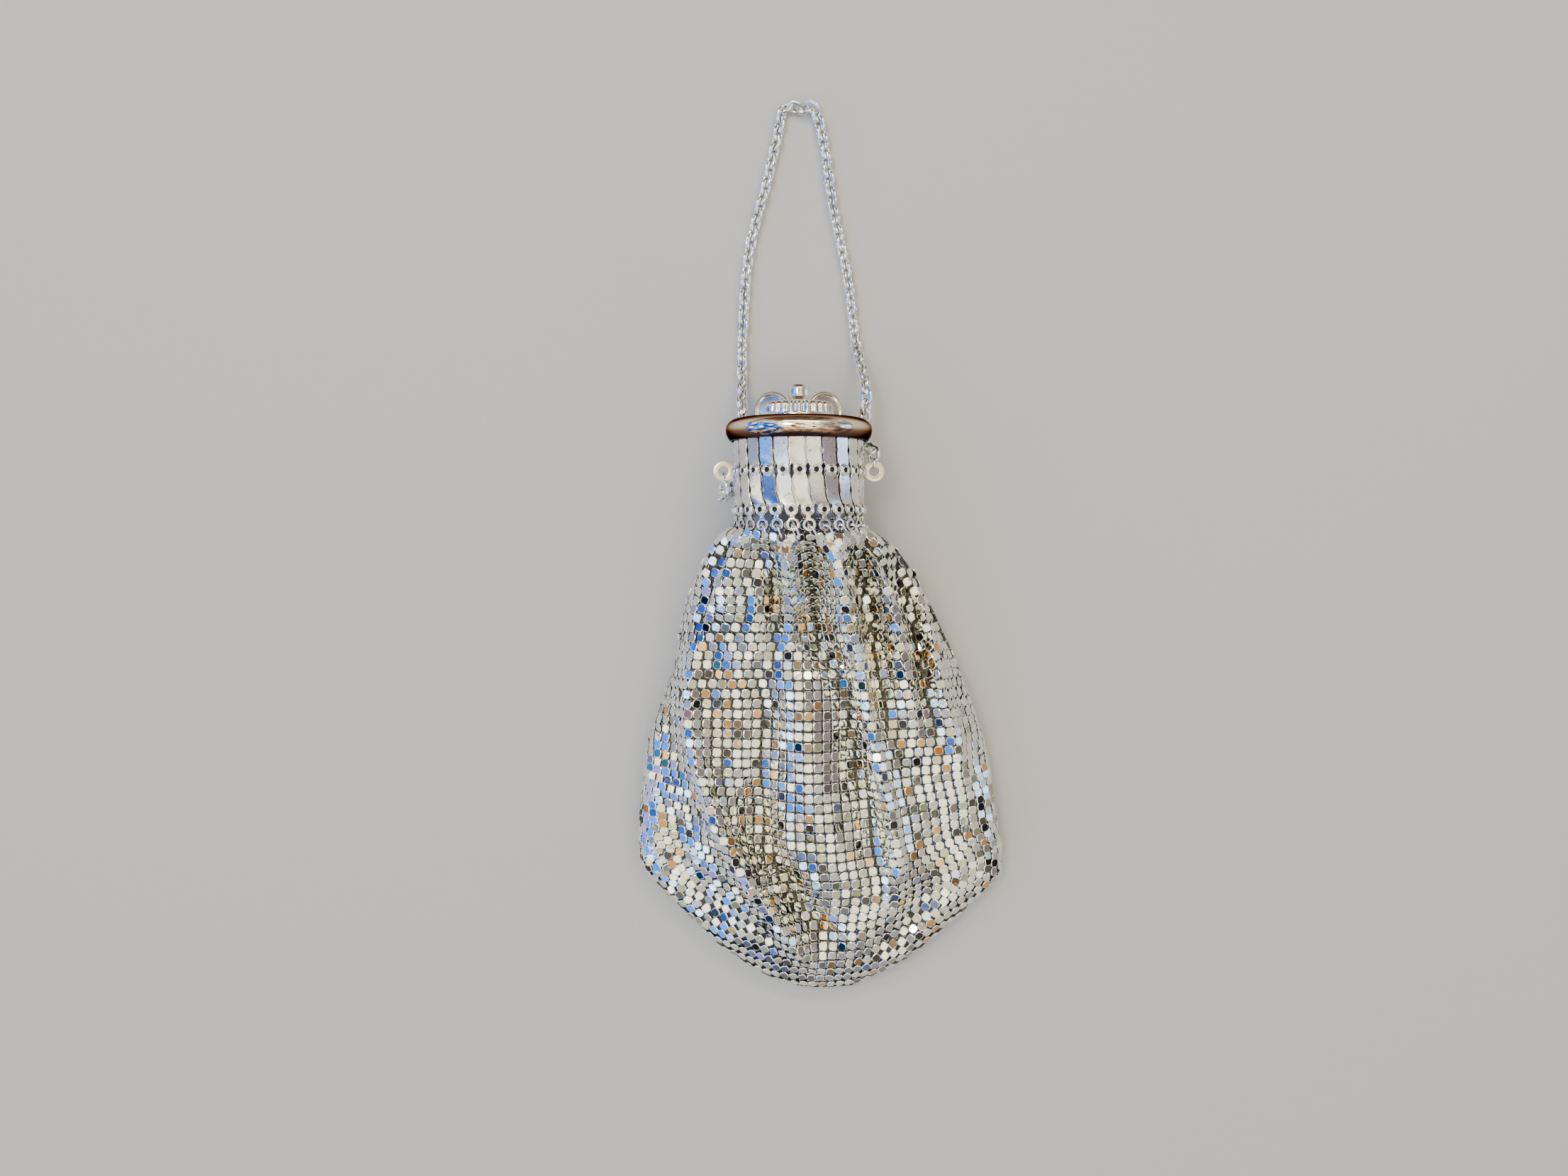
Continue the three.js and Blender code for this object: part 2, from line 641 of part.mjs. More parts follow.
function chainRoute() {
  const z = CHAIN_RADIUS;
  const tableRow = CHAIN_ON_TABLE.map(([x, y]) => new THREE.Vector3(x, y, z));
  const sideX = SIDE_RING_X;
  return [
    chainEnd(-1, 0),
    chainEnd(-1, 0.9),
    neckPoint(258, sideX + 0.9, SIDE_RING_Y - 7.6),
    neckPoint(245, sideX + 0.6, SIDE_RING_Y - 5.2),
    neckPoint(NOTCH_LEFT_DEG + 3, NOTCH_RADIUS + 1.0, SIDE_RING_Y),
    neckPoint(NOTCH_LEFT_DEG, NOTCH_RADIUS, RIM_BOTTOM - 0.5),
    neckPoint(NOTCH_LEFT_DEG, NOTCH_RADIUS, RIM_TOP),
    neckPoint(NOTCH_LEFT_DEG, NOTCH_RADIUS, RIM_TOP + 4),
    ...tableRow,
    neckPoint(NOTCH_RIGHT_DEG, NOTCH_RADIUS + 0.2, RIM_TOP + 10),
    neckPoint(NOTCH_RIGHT_DEG, NOTCH_RADIUS, RIM_TOP + 3),
    neckPoint(NOTCH_RIGHT_DEG, NOTCH_RADIUS, RIM_BOTTOM),
    neckPoint(NOTCH_RIGHT_DEG - 7, sideX, RIM_BOTTOM - 2.1),
    chainEnd(1, 0.5),
    chainEnd(1, 0),
  ];
}

// The route as a smooth curve that never dips below the chain's resting height.
class RestingCurve extends THREE.Curve {
  constructor(points, lowest) {
    super();
    this.smooth = new THREE.CatmullRomCurve3(points, false, 'centripetal');
    this.lowest = lowest;
  }

  getPoint(t, target = new THREE.Vector3()) {
    this.smooth.getPoint(t, target);
    target.z = Math.max(target.z, this.lowest);
    return target;
  }
}

function buildChain() {
  const curve = new RestingCurve(chainRoute(), CHAIN_RADIUS);
  const section = new THREE.Shape(circleHole(0, 0, CHAIN_RADIUS, CHAIN_SIDES).getPoints().reverse());
  return new THREE.ExtrudeGeometry(section, {
    steps: CHAIN_STEPS,
    bevelEnabled: false,
    extrudePath: curve,
  });
}

function clean(geometry) {
  const bare = geometry.index ? geometry.toNonIndexed() : geometry;
  bare.deleteAttribute('normal');
  bare.deleteAttribute('uv');
  const merged = mergeVertices(bare, 1e-4);
  merged.computeVertexNormals();
  return merged;
}

const silver = { color: 0xd9d4c9, roughness: 0.22, metalness: 1 };
const steel = { color: 0xc4c2bd, roughness: 0.32, metalness: 1 };

function piece(name, geometry, look) {
  const mesh = new THREE.Mesh(clean(geometry), new THREE.MeshStandardMaterial(look));
  mesh.name = name;
  return mesh;
}

const neck = new THREE.Group();
neck.position.set(0, NECK_Y, NECK_Z);
neck.rotation.x = TILT;
neck.add(piece('gate', buildGate(), silver));
neck.add(piece('lid', buildLid(), silver));
neck.add(piece('lid_boss', buildBoss(), silver));
neck.add(piece('lid_knob', buildKnob(), silver));
neck.add(piece('lid_lobe_left', buildLobe(-1), silver));
neck.add(piece('lid_lobe_right', buildLobe(1), silver));
neck.add(piece('side_ring_left', buildSideRing(-1), silver));
neck.add(piece('side_ring_right', buildSideRing(1), silver));
for (const side of [-1, 1]) {
  const ring = piece(
    side < 0 ? 'jump_ring_left' : 'jump_ring_right',
    new THREE.TorusGeometry(JUMP_RING_RADIUS, JUMP_WIRE_RADIUS, 5, 10),
    steel,
  );
  ring.position.copy(jumpCentre(side));
  ring.rotation.y = Math.PI / 2;
  neck.add(ring);
}

const group = new THREE.Group();
group.add(neck);
group.add(piece('mesh_bag', buildBag(), steel));
group.add(piece('chain', buildChain(), steel));

// The origin is the middle of the footprint, on the table.
group.updateMatrixWorld(true);
const box = new THREE.Box3().setFromObject(group, true);
group.position.set(-(box.min.x + box.max.x) / 2, -(box.min.y + box.max.y) / 2, -box.min.z);
group.updateMatrixWorld(true);

export default group;
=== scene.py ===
"""Collapse-top metal mesh purse lying on its back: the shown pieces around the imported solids."""

import math
import random

import bmesh
import bpy
import numpy as np
from mathutils import Matrix, Vector


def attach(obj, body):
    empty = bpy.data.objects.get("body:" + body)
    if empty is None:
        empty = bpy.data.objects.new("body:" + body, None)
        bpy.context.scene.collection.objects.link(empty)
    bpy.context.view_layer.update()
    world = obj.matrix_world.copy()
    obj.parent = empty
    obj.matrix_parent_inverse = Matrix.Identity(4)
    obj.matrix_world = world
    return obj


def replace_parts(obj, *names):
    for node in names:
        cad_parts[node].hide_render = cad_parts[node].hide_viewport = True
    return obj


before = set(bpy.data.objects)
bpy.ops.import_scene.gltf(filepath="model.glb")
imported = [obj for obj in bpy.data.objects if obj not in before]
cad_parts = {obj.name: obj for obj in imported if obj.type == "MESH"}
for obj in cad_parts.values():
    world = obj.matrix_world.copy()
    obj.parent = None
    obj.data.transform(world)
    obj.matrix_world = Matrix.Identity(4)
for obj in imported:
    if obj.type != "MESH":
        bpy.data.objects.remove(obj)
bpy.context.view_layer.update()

MM = 0.001
FULL_TURN = 2 * math.pi
QUARTER_TURN = math.pi / 2
SIDES = ((-1, "left"), (1, "right"))
# The least height of the shown pieces over the table, in millimetres.
FLOOR_GAP = 0.02
dice = random.Random(26)

# Place along Y, in the row frame, of the zero that the chain and the camera are set out from.
TABLE_SHIFT_Y = 9.702

# Neck: the collar's lowest pivot row lies at its origin, and its axis rises toward +Y.
NECK_TILT = math.radians(2.7)
NECK_X = -6.848
NECK_Y = 10.636
NECK_Z = 21.210
NECK = (
    Matrix.Translation((NECK_X * MM, NECK_Y * MM, NECK_Z * MM))
    @ Matrix.Rotation(NECK_TILT, 4, "X")
    @ Matrix.Scale(MM, 4)
)

# Collar, in millimetres.
GATE_RADIUS = 19.8
SLAT_COUNT = 26
SLAT_PITCH = FULL_TURN / SLAT_COUNT
ROW_SPACING = 11.5
SLAT_WIDTH = 4.3
INNER_SLAT_WIDTH = 4.5
FLANGE_RADIUS = 1.95
SLAT_THICKNESS = 0.55
INNER_SLAT_THICKNESS = 0.45
INNER_SLAT_GAP = 0.75
GATE_TOP = 26.1
LOOP_DROP = 4.4
LOOP_RADIUS = 1.98
LOOP_HOLE = 1.12
LOOP_THICKNESS = 0.56
LOOP_SINK = 0.25
STEM_HEIGHT = -2.1
STEM_SIZE = (1.35, 1.5, 0.5)
STEM_SINK = 0.27
EYELET_RADIUS = 1.84
BORE_RADIUS = 0.78

# Lid.
LID_RADIUS = 22.25
LID_TOP = 27.455
RIM_TOP = 27.055
RIM_BOTTOM = 20.855
RIM_MIDDLE = (RIM_TOP + RIM_BOTTOM) / 2
LID_BORE = 20.3
LID_WALL = 1.0
LID_PLATE_RADIUS = 18.5
CROWN_LIFT = 1.1
BOSS_BASE = LID_TOP + 0.3
BOSS_TOP = BOSS_BASE + 5.0
BOSS_FLUTES = 26
FLUTE_DEPTH = 0.42
FLUTE_START = 8.8
KNOB_RADIUS = 3.3
KNOB_HEIGHT = 5.4
LOBE_RADIUS = 6.1
LOBE_X = 8.2
LOBE_Y = LID_TOP + 3.2
LOBE_Z = -6.45
LOBE_YAW = math.radians(24)

# Side rings and chain.
SIDE_RING_RADIUS = 3.1
SIDE_RING_HOLE = 1.45
SIDE_RING_X = GATE_RADIUS + SIDE_RING_RADIUS
SIDE_RING_Y = ROW_SPACING + 0.3
SIDE_RING_THICKNESS = 0.84
SIDE_RING_MIDDLE = (SIDE_RING_RADIUS + SIDE_RING_HOLE) / 2
JUMP_RADIUS = 1.9
JUMP_WIRE = 0.45
CHAIN_HEIGHT = 1.84
LINK_PITCH = 2.99
LINK_LENGTH = 5.7
LINK_WIDTH = 4.5
LINK_WIRE = 0.63
LINK_SQUARENESS = 0.75
LINK_TINT = 0.2
LINK_TURN = 45
LINK_SWAY = 7
NOTCH_RADIUS = 22.0
NOTCH_RIGHT = math.radians(110)
NOTCH_LEFT = math.radians(234)
NOTCH_HALF_WIDTH = 2.1

# Pouch.
BAG_X = NECK_X
BAG_MOUTH_Y = 3.893
BAG_MOUTH_Z = 20.892
BAG_LENGTH = 145.0
BAG_HALF_WIDTH = 57.4
BAG_DEPTH = 24.0
MOUTH_RADIUS = 20.95
PLEAT_COUNT = 13
PLEAT_DEPTH = 1.8
PLEAT_PHASE = 0.6
FOLD_SCALE = 1.35
DENT_DEPTH = 0.9
# Shares of the way from mouth to foot: the cloth's upper edge, the first tile row and the foot.
FIRST_SHARE = -0.014
FIRST_ROW = 0.012
LAST_SHARE = 0.999
FOOT_SHARE = 0.9995
# Spans over which the pouch goes flat, its pleats and dents come and go, and its mouth lets go.
FLAT_SPAN = (0.02, 0.3)
PLEATS_COME = (0, 0.04)
PLEATS_GO = (0.1, 0.34)
DENTS_COME = (0.05, 0.2)
DENTS_GO = (0.9, 1.0)
MOUTH_SPAN = (0, 0.14)

# Tiles, the link rings between them, the web behind them and the hooks above them.
TILE_SPACING = 3.12
TIGHT_SPACING = 2.84
TIGHT_SQUEEZE = 0.8
COLUMNS = 41
ROW_BOW = 0.15
EDGE_MARGIN = 0.28
TILE_SIZE = 2.78
TILE_SIDES = 16
TILE_SQUARENESS = 3.4
TILE_LIP = 0.25
TILE_RISE = 0.16
TILE_SKIRT = 0.32
TILE_TAPER = 0.86
TILE_SINK = 0.16
TILE_WOBBLE = {"front": 2.6, "back": 1.6}
LOOSE_SHARE = 0.16
LOOSE_WOBBLE = 3.4
LINK_RING_RADIUS = 0.62
LINK_RING_WIRE = 0.17
LINK_RING_SINK = 0.55
LINK_RING_STEP = 0.0112
WEB_SINK = 0.75
WEB_FLOOR = 0.45
WEB_END = 0.997
HOOK_RADIUS = 1.25
HOOK_WIRE = 0.34
HOOK_STRETCH = 1.65

# Cross sections: at is the share of BAG_LENGTH from the mouth, left and right are shares of
# BAG_HALF_WIDTH, and top and widest are the heights of the top and widest place, shares of BAG_DEPTH.
SECTIONS = [
    {"at": FIRST_SHARE, "left": MOUTH_RADIUS / BAG_HALF_WIDTH, "right": MOUTH_RADIUS / BAG_HALF_WIDTH,
     "top": (BAG_MOUTH_Z + MOUTH_RADIUS) / BAG_DEPTH, "widest": BAG_MOUTH_Z / BAG_DEPTH},
    {"at": 0, "left": 0.42, "right": 0.42, "top": 1.74, "widest": 0.86},
    {"at": 0.015, "left": 0.455, "right": 0.47, "top": 1.74, "widest": 0.8},
    {"at": 0.04, "left": 0.5, "right": 0.55, "top": 1.67, "widest": 0.66},
    {"at": 0.08, "left": 0.55, "right": 0.627, "top": 1.55, "widest": 0.52},
    {"at": 0.12, "left": 0.596, "right": 0.685, "top": 1.42, "widest": 0.44},
    {"at": 0.2, "left": 0.655, "right": 0.786, "top": 1.2, "widest": 0.36},
    {"at": 0.3, "left": 0.704, "right": 0.897, "top": 1.06, "widest": 0.33},
    {"at": 0.45, "left": 0.829, "right": 1.028, "top": 0.96, "widest": 0.31},
    {"at": 0.6, "left": 0.875, "right": 1.09, "top": 0.9, "widest": 0.3},
    {"at": 0.7, "left": 0.876, "right": 1.124, "top": 0.85, "widest": 0.28},
    {"at": 0.75, "left": 0.81, "right": 1.1, "top": 0.8, "widest": 0.27},
    {"at": 0.86, "left": 0.54, "right": 0.81, "top": 0.68, "widest": 0.24},
    {"at": 0.92, "left": 0.371, "right": 0.634, "top": 0.57, "widest": 0.21},
    {"at": 0.97, "left": 0.17, "right": 0.41, "top": 0.41, "widest": 0.17},
    {"at": 0.99, "left": 0.01, "right": 0.3, "top": 0.29, "widest": 0.15},
    {"at": 1, "left": -0.155, "right": 0.155, "top": 0.14, "widest": 0.14},
]

# Folds of the upper side: the width of each ridge or valley as a share of BAG_HALF_WIDTH, then its
# line as (at, across, height) with across a share of BAG_HALF_WIDTH and height one of BAG_DEPTH.
FOLDS = [
    (0.075, [(0.0, -0.44, 0.0), (0.05, -0.47, 0.12), (0.16, -0.545, 0.16), (0.31, -0.595, 0.17),
             (0.41, -0.587, 0.17), (0.5, -0.532, 0.19), (0.6, -0.445, 0.2), (0.7, -0.32, 0.21),
             (0.78, -0.19, 0.2), (0.88, -0.02, 0.15), (0.95, 0.1, 0.0)]),
    (0.12, [(0.02, -0.32, 0.0), (0.1, -0.345, 0.12), (0.19, -0.357, 0.12), (0.3, -0.38, 0.04),
            (0.36, -0.39, 0.0)]),
    (0.055, [(0.0, -0.15, 0.0), (0.05, -0.157, -0.16), (0.11, -0.145, -0.18), (0.18, -0.13, -0.14),
             (0.3, -0.13, 0.0)]),
    (0.06, [(0.0, -0.04, 0.0), (0.04, -0.045, 0.12), (0.12, -0.04, 0.14), (0.19, -0.03, 0.1),
            (0.25, -0.02, 0.0)]),
    (0.075, [(0.0, 0.055, 0.0), (0.04, 0.055, -0.16), (0.14, 0.08, -0.24), (0.21, 0.08, -0.25),
             (0.27, 0.15, -0.14), (0.33, 0.24, -0.1), (0.41, 0.285, -0.13), (0.5, 0.32, -0.14),
             (0.6, 0.385, -0.12), (0.7, 0.42, -0.07), (0.8, 0.44, 0.0)]),
    (0.062, [(0.0, 0.2, 0.0), (0.04, 0.205, 0.16), (0.14, 0.243, 0.18), (0.23, 0.293, 0.18),
             (0.31, 0.33, 0.18), (0.41, 0.373, 0.18), (0.5, 0.413, 0.18), (0.58, 0.468, 0.18),
             (0.7, 0.513, 0.14), (0.8, 0.523, 0.06), (0.88, 0.52, 0.0)]),
    (0.055, [(0.0, 0.31, 0.0), (0.04, 0.318, -0.15), (0.14, 0.355, -0.16), (0.23, 0.393, -0.13),
             (0.31, 0.43, -0.09), (0.45, 0.48, 0.0)]),
    (0.075, [(0.0, 0.42, 0.0), (0.04, 0.43, 0.12), (0.16, 0.518, 0.14), (0.26, 0.555, 0.12),
             (0.36, 0.593, 0.06), (0.5, 0.62, 0.0)]),
    (0.055, [(0.02, 0.48, 0.0), (0.08, 0.53, -0.1), (0.16, 0.593, -0.12), (0.23, 0.63, -0.12),
             (0.31, 0.668, -0.1), (0.45, 0.7, 0.0)]),
    (0.065, [(0.02, 0.54, 0.0), (0.16, 0.655, 0.1), (0.26, 0.718, 0.14), (0.33, 0.768, 0.14),
             (0.41, 0.818, 0.12), (0.5, 0.868, 0.06), (0.6, 0.9, 0.0)]),
    (0.09, [(0.26, -0.19, 0.0), (0.34, -0.18, -0.08), (0.41, -0.17, -0.12), (0.5, -0.207, -0.15),
             (0.58, -0.22, -0.18), (0.68, -0.16, -0.2), (0.76, -0.04, -0.18), (0.82, 0.07, -0.14),
             (0.9, 0.18, 0.0)]),
    (0.11, [(0.28, -0.01, 0.0), (0.34, 0.0, 0.1), (0.42, 0.02, 0.14), (0.5, 0.06, 0.14),
            (0.6, 0.1, 0.12), (0.68, 0.17, 0.06), (0.76, 0.2, 0.0)]),
    (0.09, [(0.5, -0.75, 0.0), (0.6, -0.68, -0.08), (0.7, -0.6, -0.1), (0.78, -0.5, -0.08),
            (0.86, -0.35, 0.0)]),
    (0.1, [(0.62, 0.7, 0.0), (0.72, 0.74, -0.08), (0.8, 0.66, -0.1), (0.87, 0.52, -0.08),
           (0.94, 0.3, 0.0)]),
]

# Camera, straight above the purse: its place in metres and its lens in millimetres.
CAMERA_PLACE = ((NECK_X - 4.5) * MM, (TABLE_SHIFT_Y - 22.7) * MM, 0.38)
CAMERA_LENS = 27.05
CAMERA_SENSOR = 36

# Chain where it lies on the table: x from the neck's axis and y from TABLE_SHIFT_Y.
CHAIN_ON_TABLE = [
    (-18.0, 45), (-18.0, 55), (-17.5, 66), (-16.8, 77), (-15.3, 87.5), (-12.9, 97.5), (-10.2, 107),
    (-8.4, 115), (-6.7, 122), (-5.7, 127.6), (-4.5, 131.0), (-1.6, 131.6), (1.4, 130.8), (4.3, 131.9),
    (6.0, 129.0), (7.6, 123), (8.9, 116.5), (10.1, 107), (11.4, 98.5), (13.8, 87.5), (15.9, 77),
    (17.3, 66), (18.6, 55.5),
]


def smoothstep(value, low, high):
    t = np.clip((value - low) / (high - low), 0, 1)
    return t * t * (3 - 2 * t)


def spline(ats, values, at):
    """A table's column at each share in at, with slopes from the neighbouring rows."""
    ats = np.asarray(ats, float)
    values = np.asarray(values, float)
    last = len(ats) - 1
    at = np.clip(at, ats[0], ats[last])
    before = np.maximum(np.arange(last + 1) - 1, 0)
    after = np.minimum(np.arange(last + 1) + 1, last)
    slopes = (values[after] - values[before]) / (ats[after] - ats[before])
    i = np.clip(np.searchsorted(ats, at, side="left") - 1, 0, last - 1)
    width = ats[i + 1] - ats[i]
    s = (at - ats[i]) / width
    s2 = s * s
    s3 = s2 * s
    return (
        (2 * s3 - 3 * s2 + 1) * values[i]
        + (s3 - 2 * s2 + s) * width * slopes[i]
        + (3 * s2 - 2 * s3) * values[i + 1]
        + (s3 - s2) * width * slopes[i + 1]
    )


def section(key, at):
    """One measure of the pouch's cross section at each share in at."""
    return spline([row["at"] for row in SECTIONS], [row[key] for row in SECTIONS], at)


def fold_height(x, at):
    """How far the ridges and valleys of the upper side lift or lower it."""
    total = np.zeros(np.broadcast(x, at).shape)
    for width, line in FOLDS:
        ats = [p[0] for p in line]
        height = spline(ats, [p[2] for p in line], at)
        off = (x / BAG_HALF_WIDTH - spline(ats, [p[1] for p in line], at)) / width
        total = total + height * FOLD_SCALE * BAG_DEPTH * np.exp(-off * off)
    return total


def crumple(x, y):
    """Slow shallow dents that no two places share."""
    return (
        0.45 * np.sin(x / 5.1 + y / 8.3)
        + 0.35 * np.sin(x / 3.3 - y / 6.1 + 1.3)
        + 0.3 * np.sin(y / 4.2 + 0.8 * np.sin(x / 9.0))
    )


def bag_point(angle, at):
    """The pouch's outer face, in millimetres in the row frame."""
    angle, at = np.broadcast_arrays(np.asarray(angle, float), np.asarray(at, float))
    left = section("left", at) * BAG_HALF_WIDTH
    right = section("right", at) * BAG_HALF_WIDTH
    top = section("top", at) * BAG_DEPTH
    widest = section("widest", at) * BAG_DEPTH
    flat = smoothstep(at, *FLAT_SPAN)
    cosine = np.cos(angle)
    sine = np.sin(angle)
    upper = sine > 0
    c = np.sign(cosine) * np.abs(cosine) ** (1 - 0.12 * flat)
    s = np.sign(sine) * np.abs(sine) ** np.where(upper, 1 - 0.1 * flat, 1 - 0.45 * flat)
    fade = (0.3 + 0.7 * smoothstep(at, *PLEATS_COME)) * (1 - smoothstep(at, *PLEATS_GO))
    pleat = PLEAT_DEPTH * fade * (np.cos(PLEAT_COUNT * angle + PLEAT_PHASE) - 0.9)
    x = (right - left) / 2 + ((left + right) / 2 + pleat) * c
    below = widest * (1 + 0.12 * flat)
    z = widest + np.where(upper, top - widest + pleat, below + pleat) * s
    soft = smoothstep(at, *DENTS_COME) * (1 - smoothstep(at, *DENTS_GO))
    y_rough = BAG_MOUTH_Y - at * BAG_LENGTH
    lift = fold_height(x, at) + DENT_DEPTH * soft * crumple(x, y_rough)
    z = z + np.where(upper, lift * np.minimum(1, 1.7 * np.maximum(s, 0)), 0)
    mouth = 1 - smoothstep(at, *MOUTH_SPAN)
    y = y_rough - mouth * (z - BAG_MOUTH_Z) * math.tan(NECK_TILT)
    return np.stack([BAG_X + x, y, np.maximum(z, 0)], axis=-1)


def unit(vectors):
    return vectors / np.maximum(np.linalg.norm(vectors, axis=-1, keepdims=True), 1e-9)


def run_lengths(points):
    """The length along a line of points, from the first of them to each."""
    return np.concatenate([[0], np.cumsum(np.linalg.norm(np.diff(points, axis=0), axis=1))])


def bag_frame(angle, at):
    """Points of the pouch with their outward normals and their directions toward the foot."""
    turn_step = 0.04
    share_step = 0.007
    across = bag_point(angle + turn_step, at) - bag_point(angle - turn_step, at)
    low = np.maximum(at - share_step, FIRST_SHARE)
    high = np.minimum(at + share_step, LAST_SHARE)
    along = bag_point(angle, high) - bag_point(angle, low)
    return bag_point(angle, at), unit(np.cross(across, along)), unit(along)


def node(tree, kind, **values):
    """A new node, each value given to the socket of its name or else to the node itself."""
    made = tree.nodes.new(kind)
    for key, value in values.items():
        socket = key.replace("_", " ")
        if socket in made.inputs:
            made.inputs[socket].default_value = value
        else:
            setattr(made, key, value)
    return made


def ranged(tree, source, low, high, to_low=0.0, to_high=1.0, curve="LINEAR"):
    """The source's value, held between low and high and brought to between to_low and to_high."""
    made = node(tree, "ShaderNodeMapRange", interpolation_type=curve, From_Min=low, From_Max=high,
                To_Min=to_low, To_Max=to_high)
    tree.links.new(source, made.inputs["Value"])
    return made.outputs["Result"]


def mixed(tree, amount, first, second, kind="RGBA", blend="MIX"):
    """The first going over to the second by the amount, each a socket or a plain value."""
    made = node(tree, "ShaderNodeMix", data_type=kind, blend_type=blend)
    for name, value in (("Factor", amount), ("A", first), ("B", second)):
        if isinstance(value, bpy.types.NodeSocket):
            tree.links.new(value, made.inputs[name])
        else:
            made.inputs[name].default_value = value
    return made.outputs["Result"]


def ramped(tree, source, stops, blend="CONSTANT"):
    """The colour that (position, colour) stops give for the source's value."""
    made = node(tree, "ShaderNodeValToRGB")
    ramp = made.color_ramp
    ramp.interpolation = blend
    while len(ramp.elements) > 1:
        ramp.elements.remove(ramp.elements[-1])
    ramp.elements[0].position = stops[0][0]
    ramp.elements[0].color = (*stops[0][1], 1)
    for position, colour in stops[1:]:
        ramp.elements.new(position).color = (*colour, 1)
    tree.links.new(source, made.inputs["Fac"])
    return made.outputs["Color"]


STAIN_BROWN = (0.32, 0.22, 0.15, 1)
# The least tint of a tile's flat face; its lip and its skirt have none.
FACE_TINT = 0.0005


def plated_metal(name, bright, dull, roughness, speckle, scale, tint=None, blend="CONSTANT", stain=0.0,
                 lip=None, edge_tint=None):
    """Polished plate: bright metal with dull worn clouds, dark pits and a fine uneven sheen.

    tint colours it along the mesh's own attribute, and lip is the roughness where that is nought.
    stain is the depth of brown blots, and edge_tint colours the glancing reflections.
    """
    material = bpy.data.materials.new(name)
    material.use_nodes = True
    tree = material.node_tree
    link = tree.links.new
    shader = tree.nodes["Principled BSDF"]
    shader.inputs["Metallic"].default_value = 1.0
    place = node(tree, "ShaderNodeTexCoord").outputs["Object"]
    clouds = node(tree, "ShaderNodeTexNoise", Scale=scale, Detail=6.0, Roughness=0.6)
    pits = node(tree, "ShaderNodeTexVoronoi", Scale=scale * 9)
    waves = node(tree, "ShaderNodeTexNoise", Scale=scale * 2.2, Detail=3.0)
    for pattern in (clouds, pits, waves):
        link(place, pattern.inputs["Vector"])
    worn = ranged(tree, clouds.outputs["Fac"], 0.42, 0.68)
    colour = mixed(tree, worn, (*bright, 1), (*dull, 1))
    sheen = ranged(tree, clouds.outputs["Fac"], 0.0, 1.0, *roughness)
    if tint:
        amount = node(tree, "ShaderNodeAttribute", attribute_name="tint").outputs["Fac"]
        colour = mixed(tree, 1.0, colour, ramped(tree, amount, tint, blend), blend="MULTIPLY")
    if lip:
        face = node(tree, "ShaderNodeMath", operation="GREATER_THAN")
        face.inputs[1].default_value = FACE_TINT
        link(amount, face.inputs[0])
        sheen = mixed(tree, face.outputs["Value"], lip, sheen, kind="FLOAT")
    if stain:
        blots = node(tree, "ShaderNodeTexNoise", Scale=scale * 2.6, Detail=4.0, Roughness=0.65)
        link(place, blots.inputs["Vector"])
        edge = ranged(tree, blots.outputs["Fac"], 0.6, 0.68, to_high=stain)
        colour = mixed(tree, edge, colour, STAIN_BROWN)
    pit = ranged(tree, pits.outputs["Distance"], 0.0, speckle, to_low=0.45)
    link(mixed(tree, 1.0, colour, pit, blend="MULTIPLY"), shader.inputs["Base Color"])
    link(sheen, shader.inputs["Roughness"])
    if edge_tint:
        shader.inputs["Specular Tint"].default_value = (*edge_tint, 1)
    bump = node(tree, "ShaderNodeBump", Strength=0.12, Distance=0.0002)
    link(waves.outputs["Fac"], bump.inputs["Height"])
    link(bump.outputs["Normal"], shader.inputs["Normal"])
    return material


# Colours of the tiles' flat faces, painted reflections of the room, one picked at random per tile: from
# which share of the tiles on, and the colour.
TILE_REFLECTION_TINTS = [
    (0.0, (1.0, 1.0, 1.0)),
    (FACE_TINT, (0.98, 0.96, 0.86)),
    (0.6, (0.86, 0.85, 0.72)),
    (0.8, (0.56, 0.5, 0.45)),
    (0.85, (0.85, 0.46, 0.16)),
    (0.9, (0.07, 0.06, 0.06)),
    (0.945, (0.46, 0.48, 0.3)),
    (0.975, (0.45, 0.5, 0.85)),
]
tile_metal = plated_metal("tile_plate", (0.97, 0.97, 0.92), (0.88, 0.87, 0.79), (0.04, 0.13), 0.07,
                          260, tint=TILE_REFLECTION_TINTS, lip=0.24)
# The web is near black: painted shade for the gaps between the tiles.
web_shade_metal = plated_metal("web_painted_shade", (0.09, 0.085, 0.065), (0.035, 0.03, 0.022), (0.35, 0.55), 0.1, 420)
prong_metal = plated_metal("prong_wire", (0.6, 0.6, 0.54), (0.36, 0.35, 0.3), (0.18, 0.4), 0.1, 420)
slat_metal = plated_metal("slat_plate", (0.92, 0.91, 0.85), (0.7, 0.66, 0.58), (0.06, 0.22), 0.2, 180,
                          stain=0.8)
# The inner slats are painted darker than the outer ones: painted shade behind them.
inner_shade_metal = plated_metal("inner_slat_plate", (0.66, 0.63, 0.56), (0.45, 0.42, 0.36), (0.15, 0.4), 0.12,
                           180)
# Near-black discs in the eyelets' holes: painted shade inside them.
bore_shade_metal = plated_metal("eyelet_bore", (0.05, 0.045, 0.04), (0.02, 0.02, 0.02), (0.5, 0.7), 0.12, 180)
lid_metal = plated_metal("lid_plate", (0.94, 0.92, 0.84), (0.8, 0.76, 0.64), (0.06, 0.18), 0.06, 120)
# The lobes' plate is painted darker and duller than the lid's: painted shade inside the lobes.
lobe_shade_metal = plated_metal("lobe_plate", (0.8, 0.74, 0.58), (0.44, 0.38, 0.28), (0.14, 0.3), 0.2, 160)
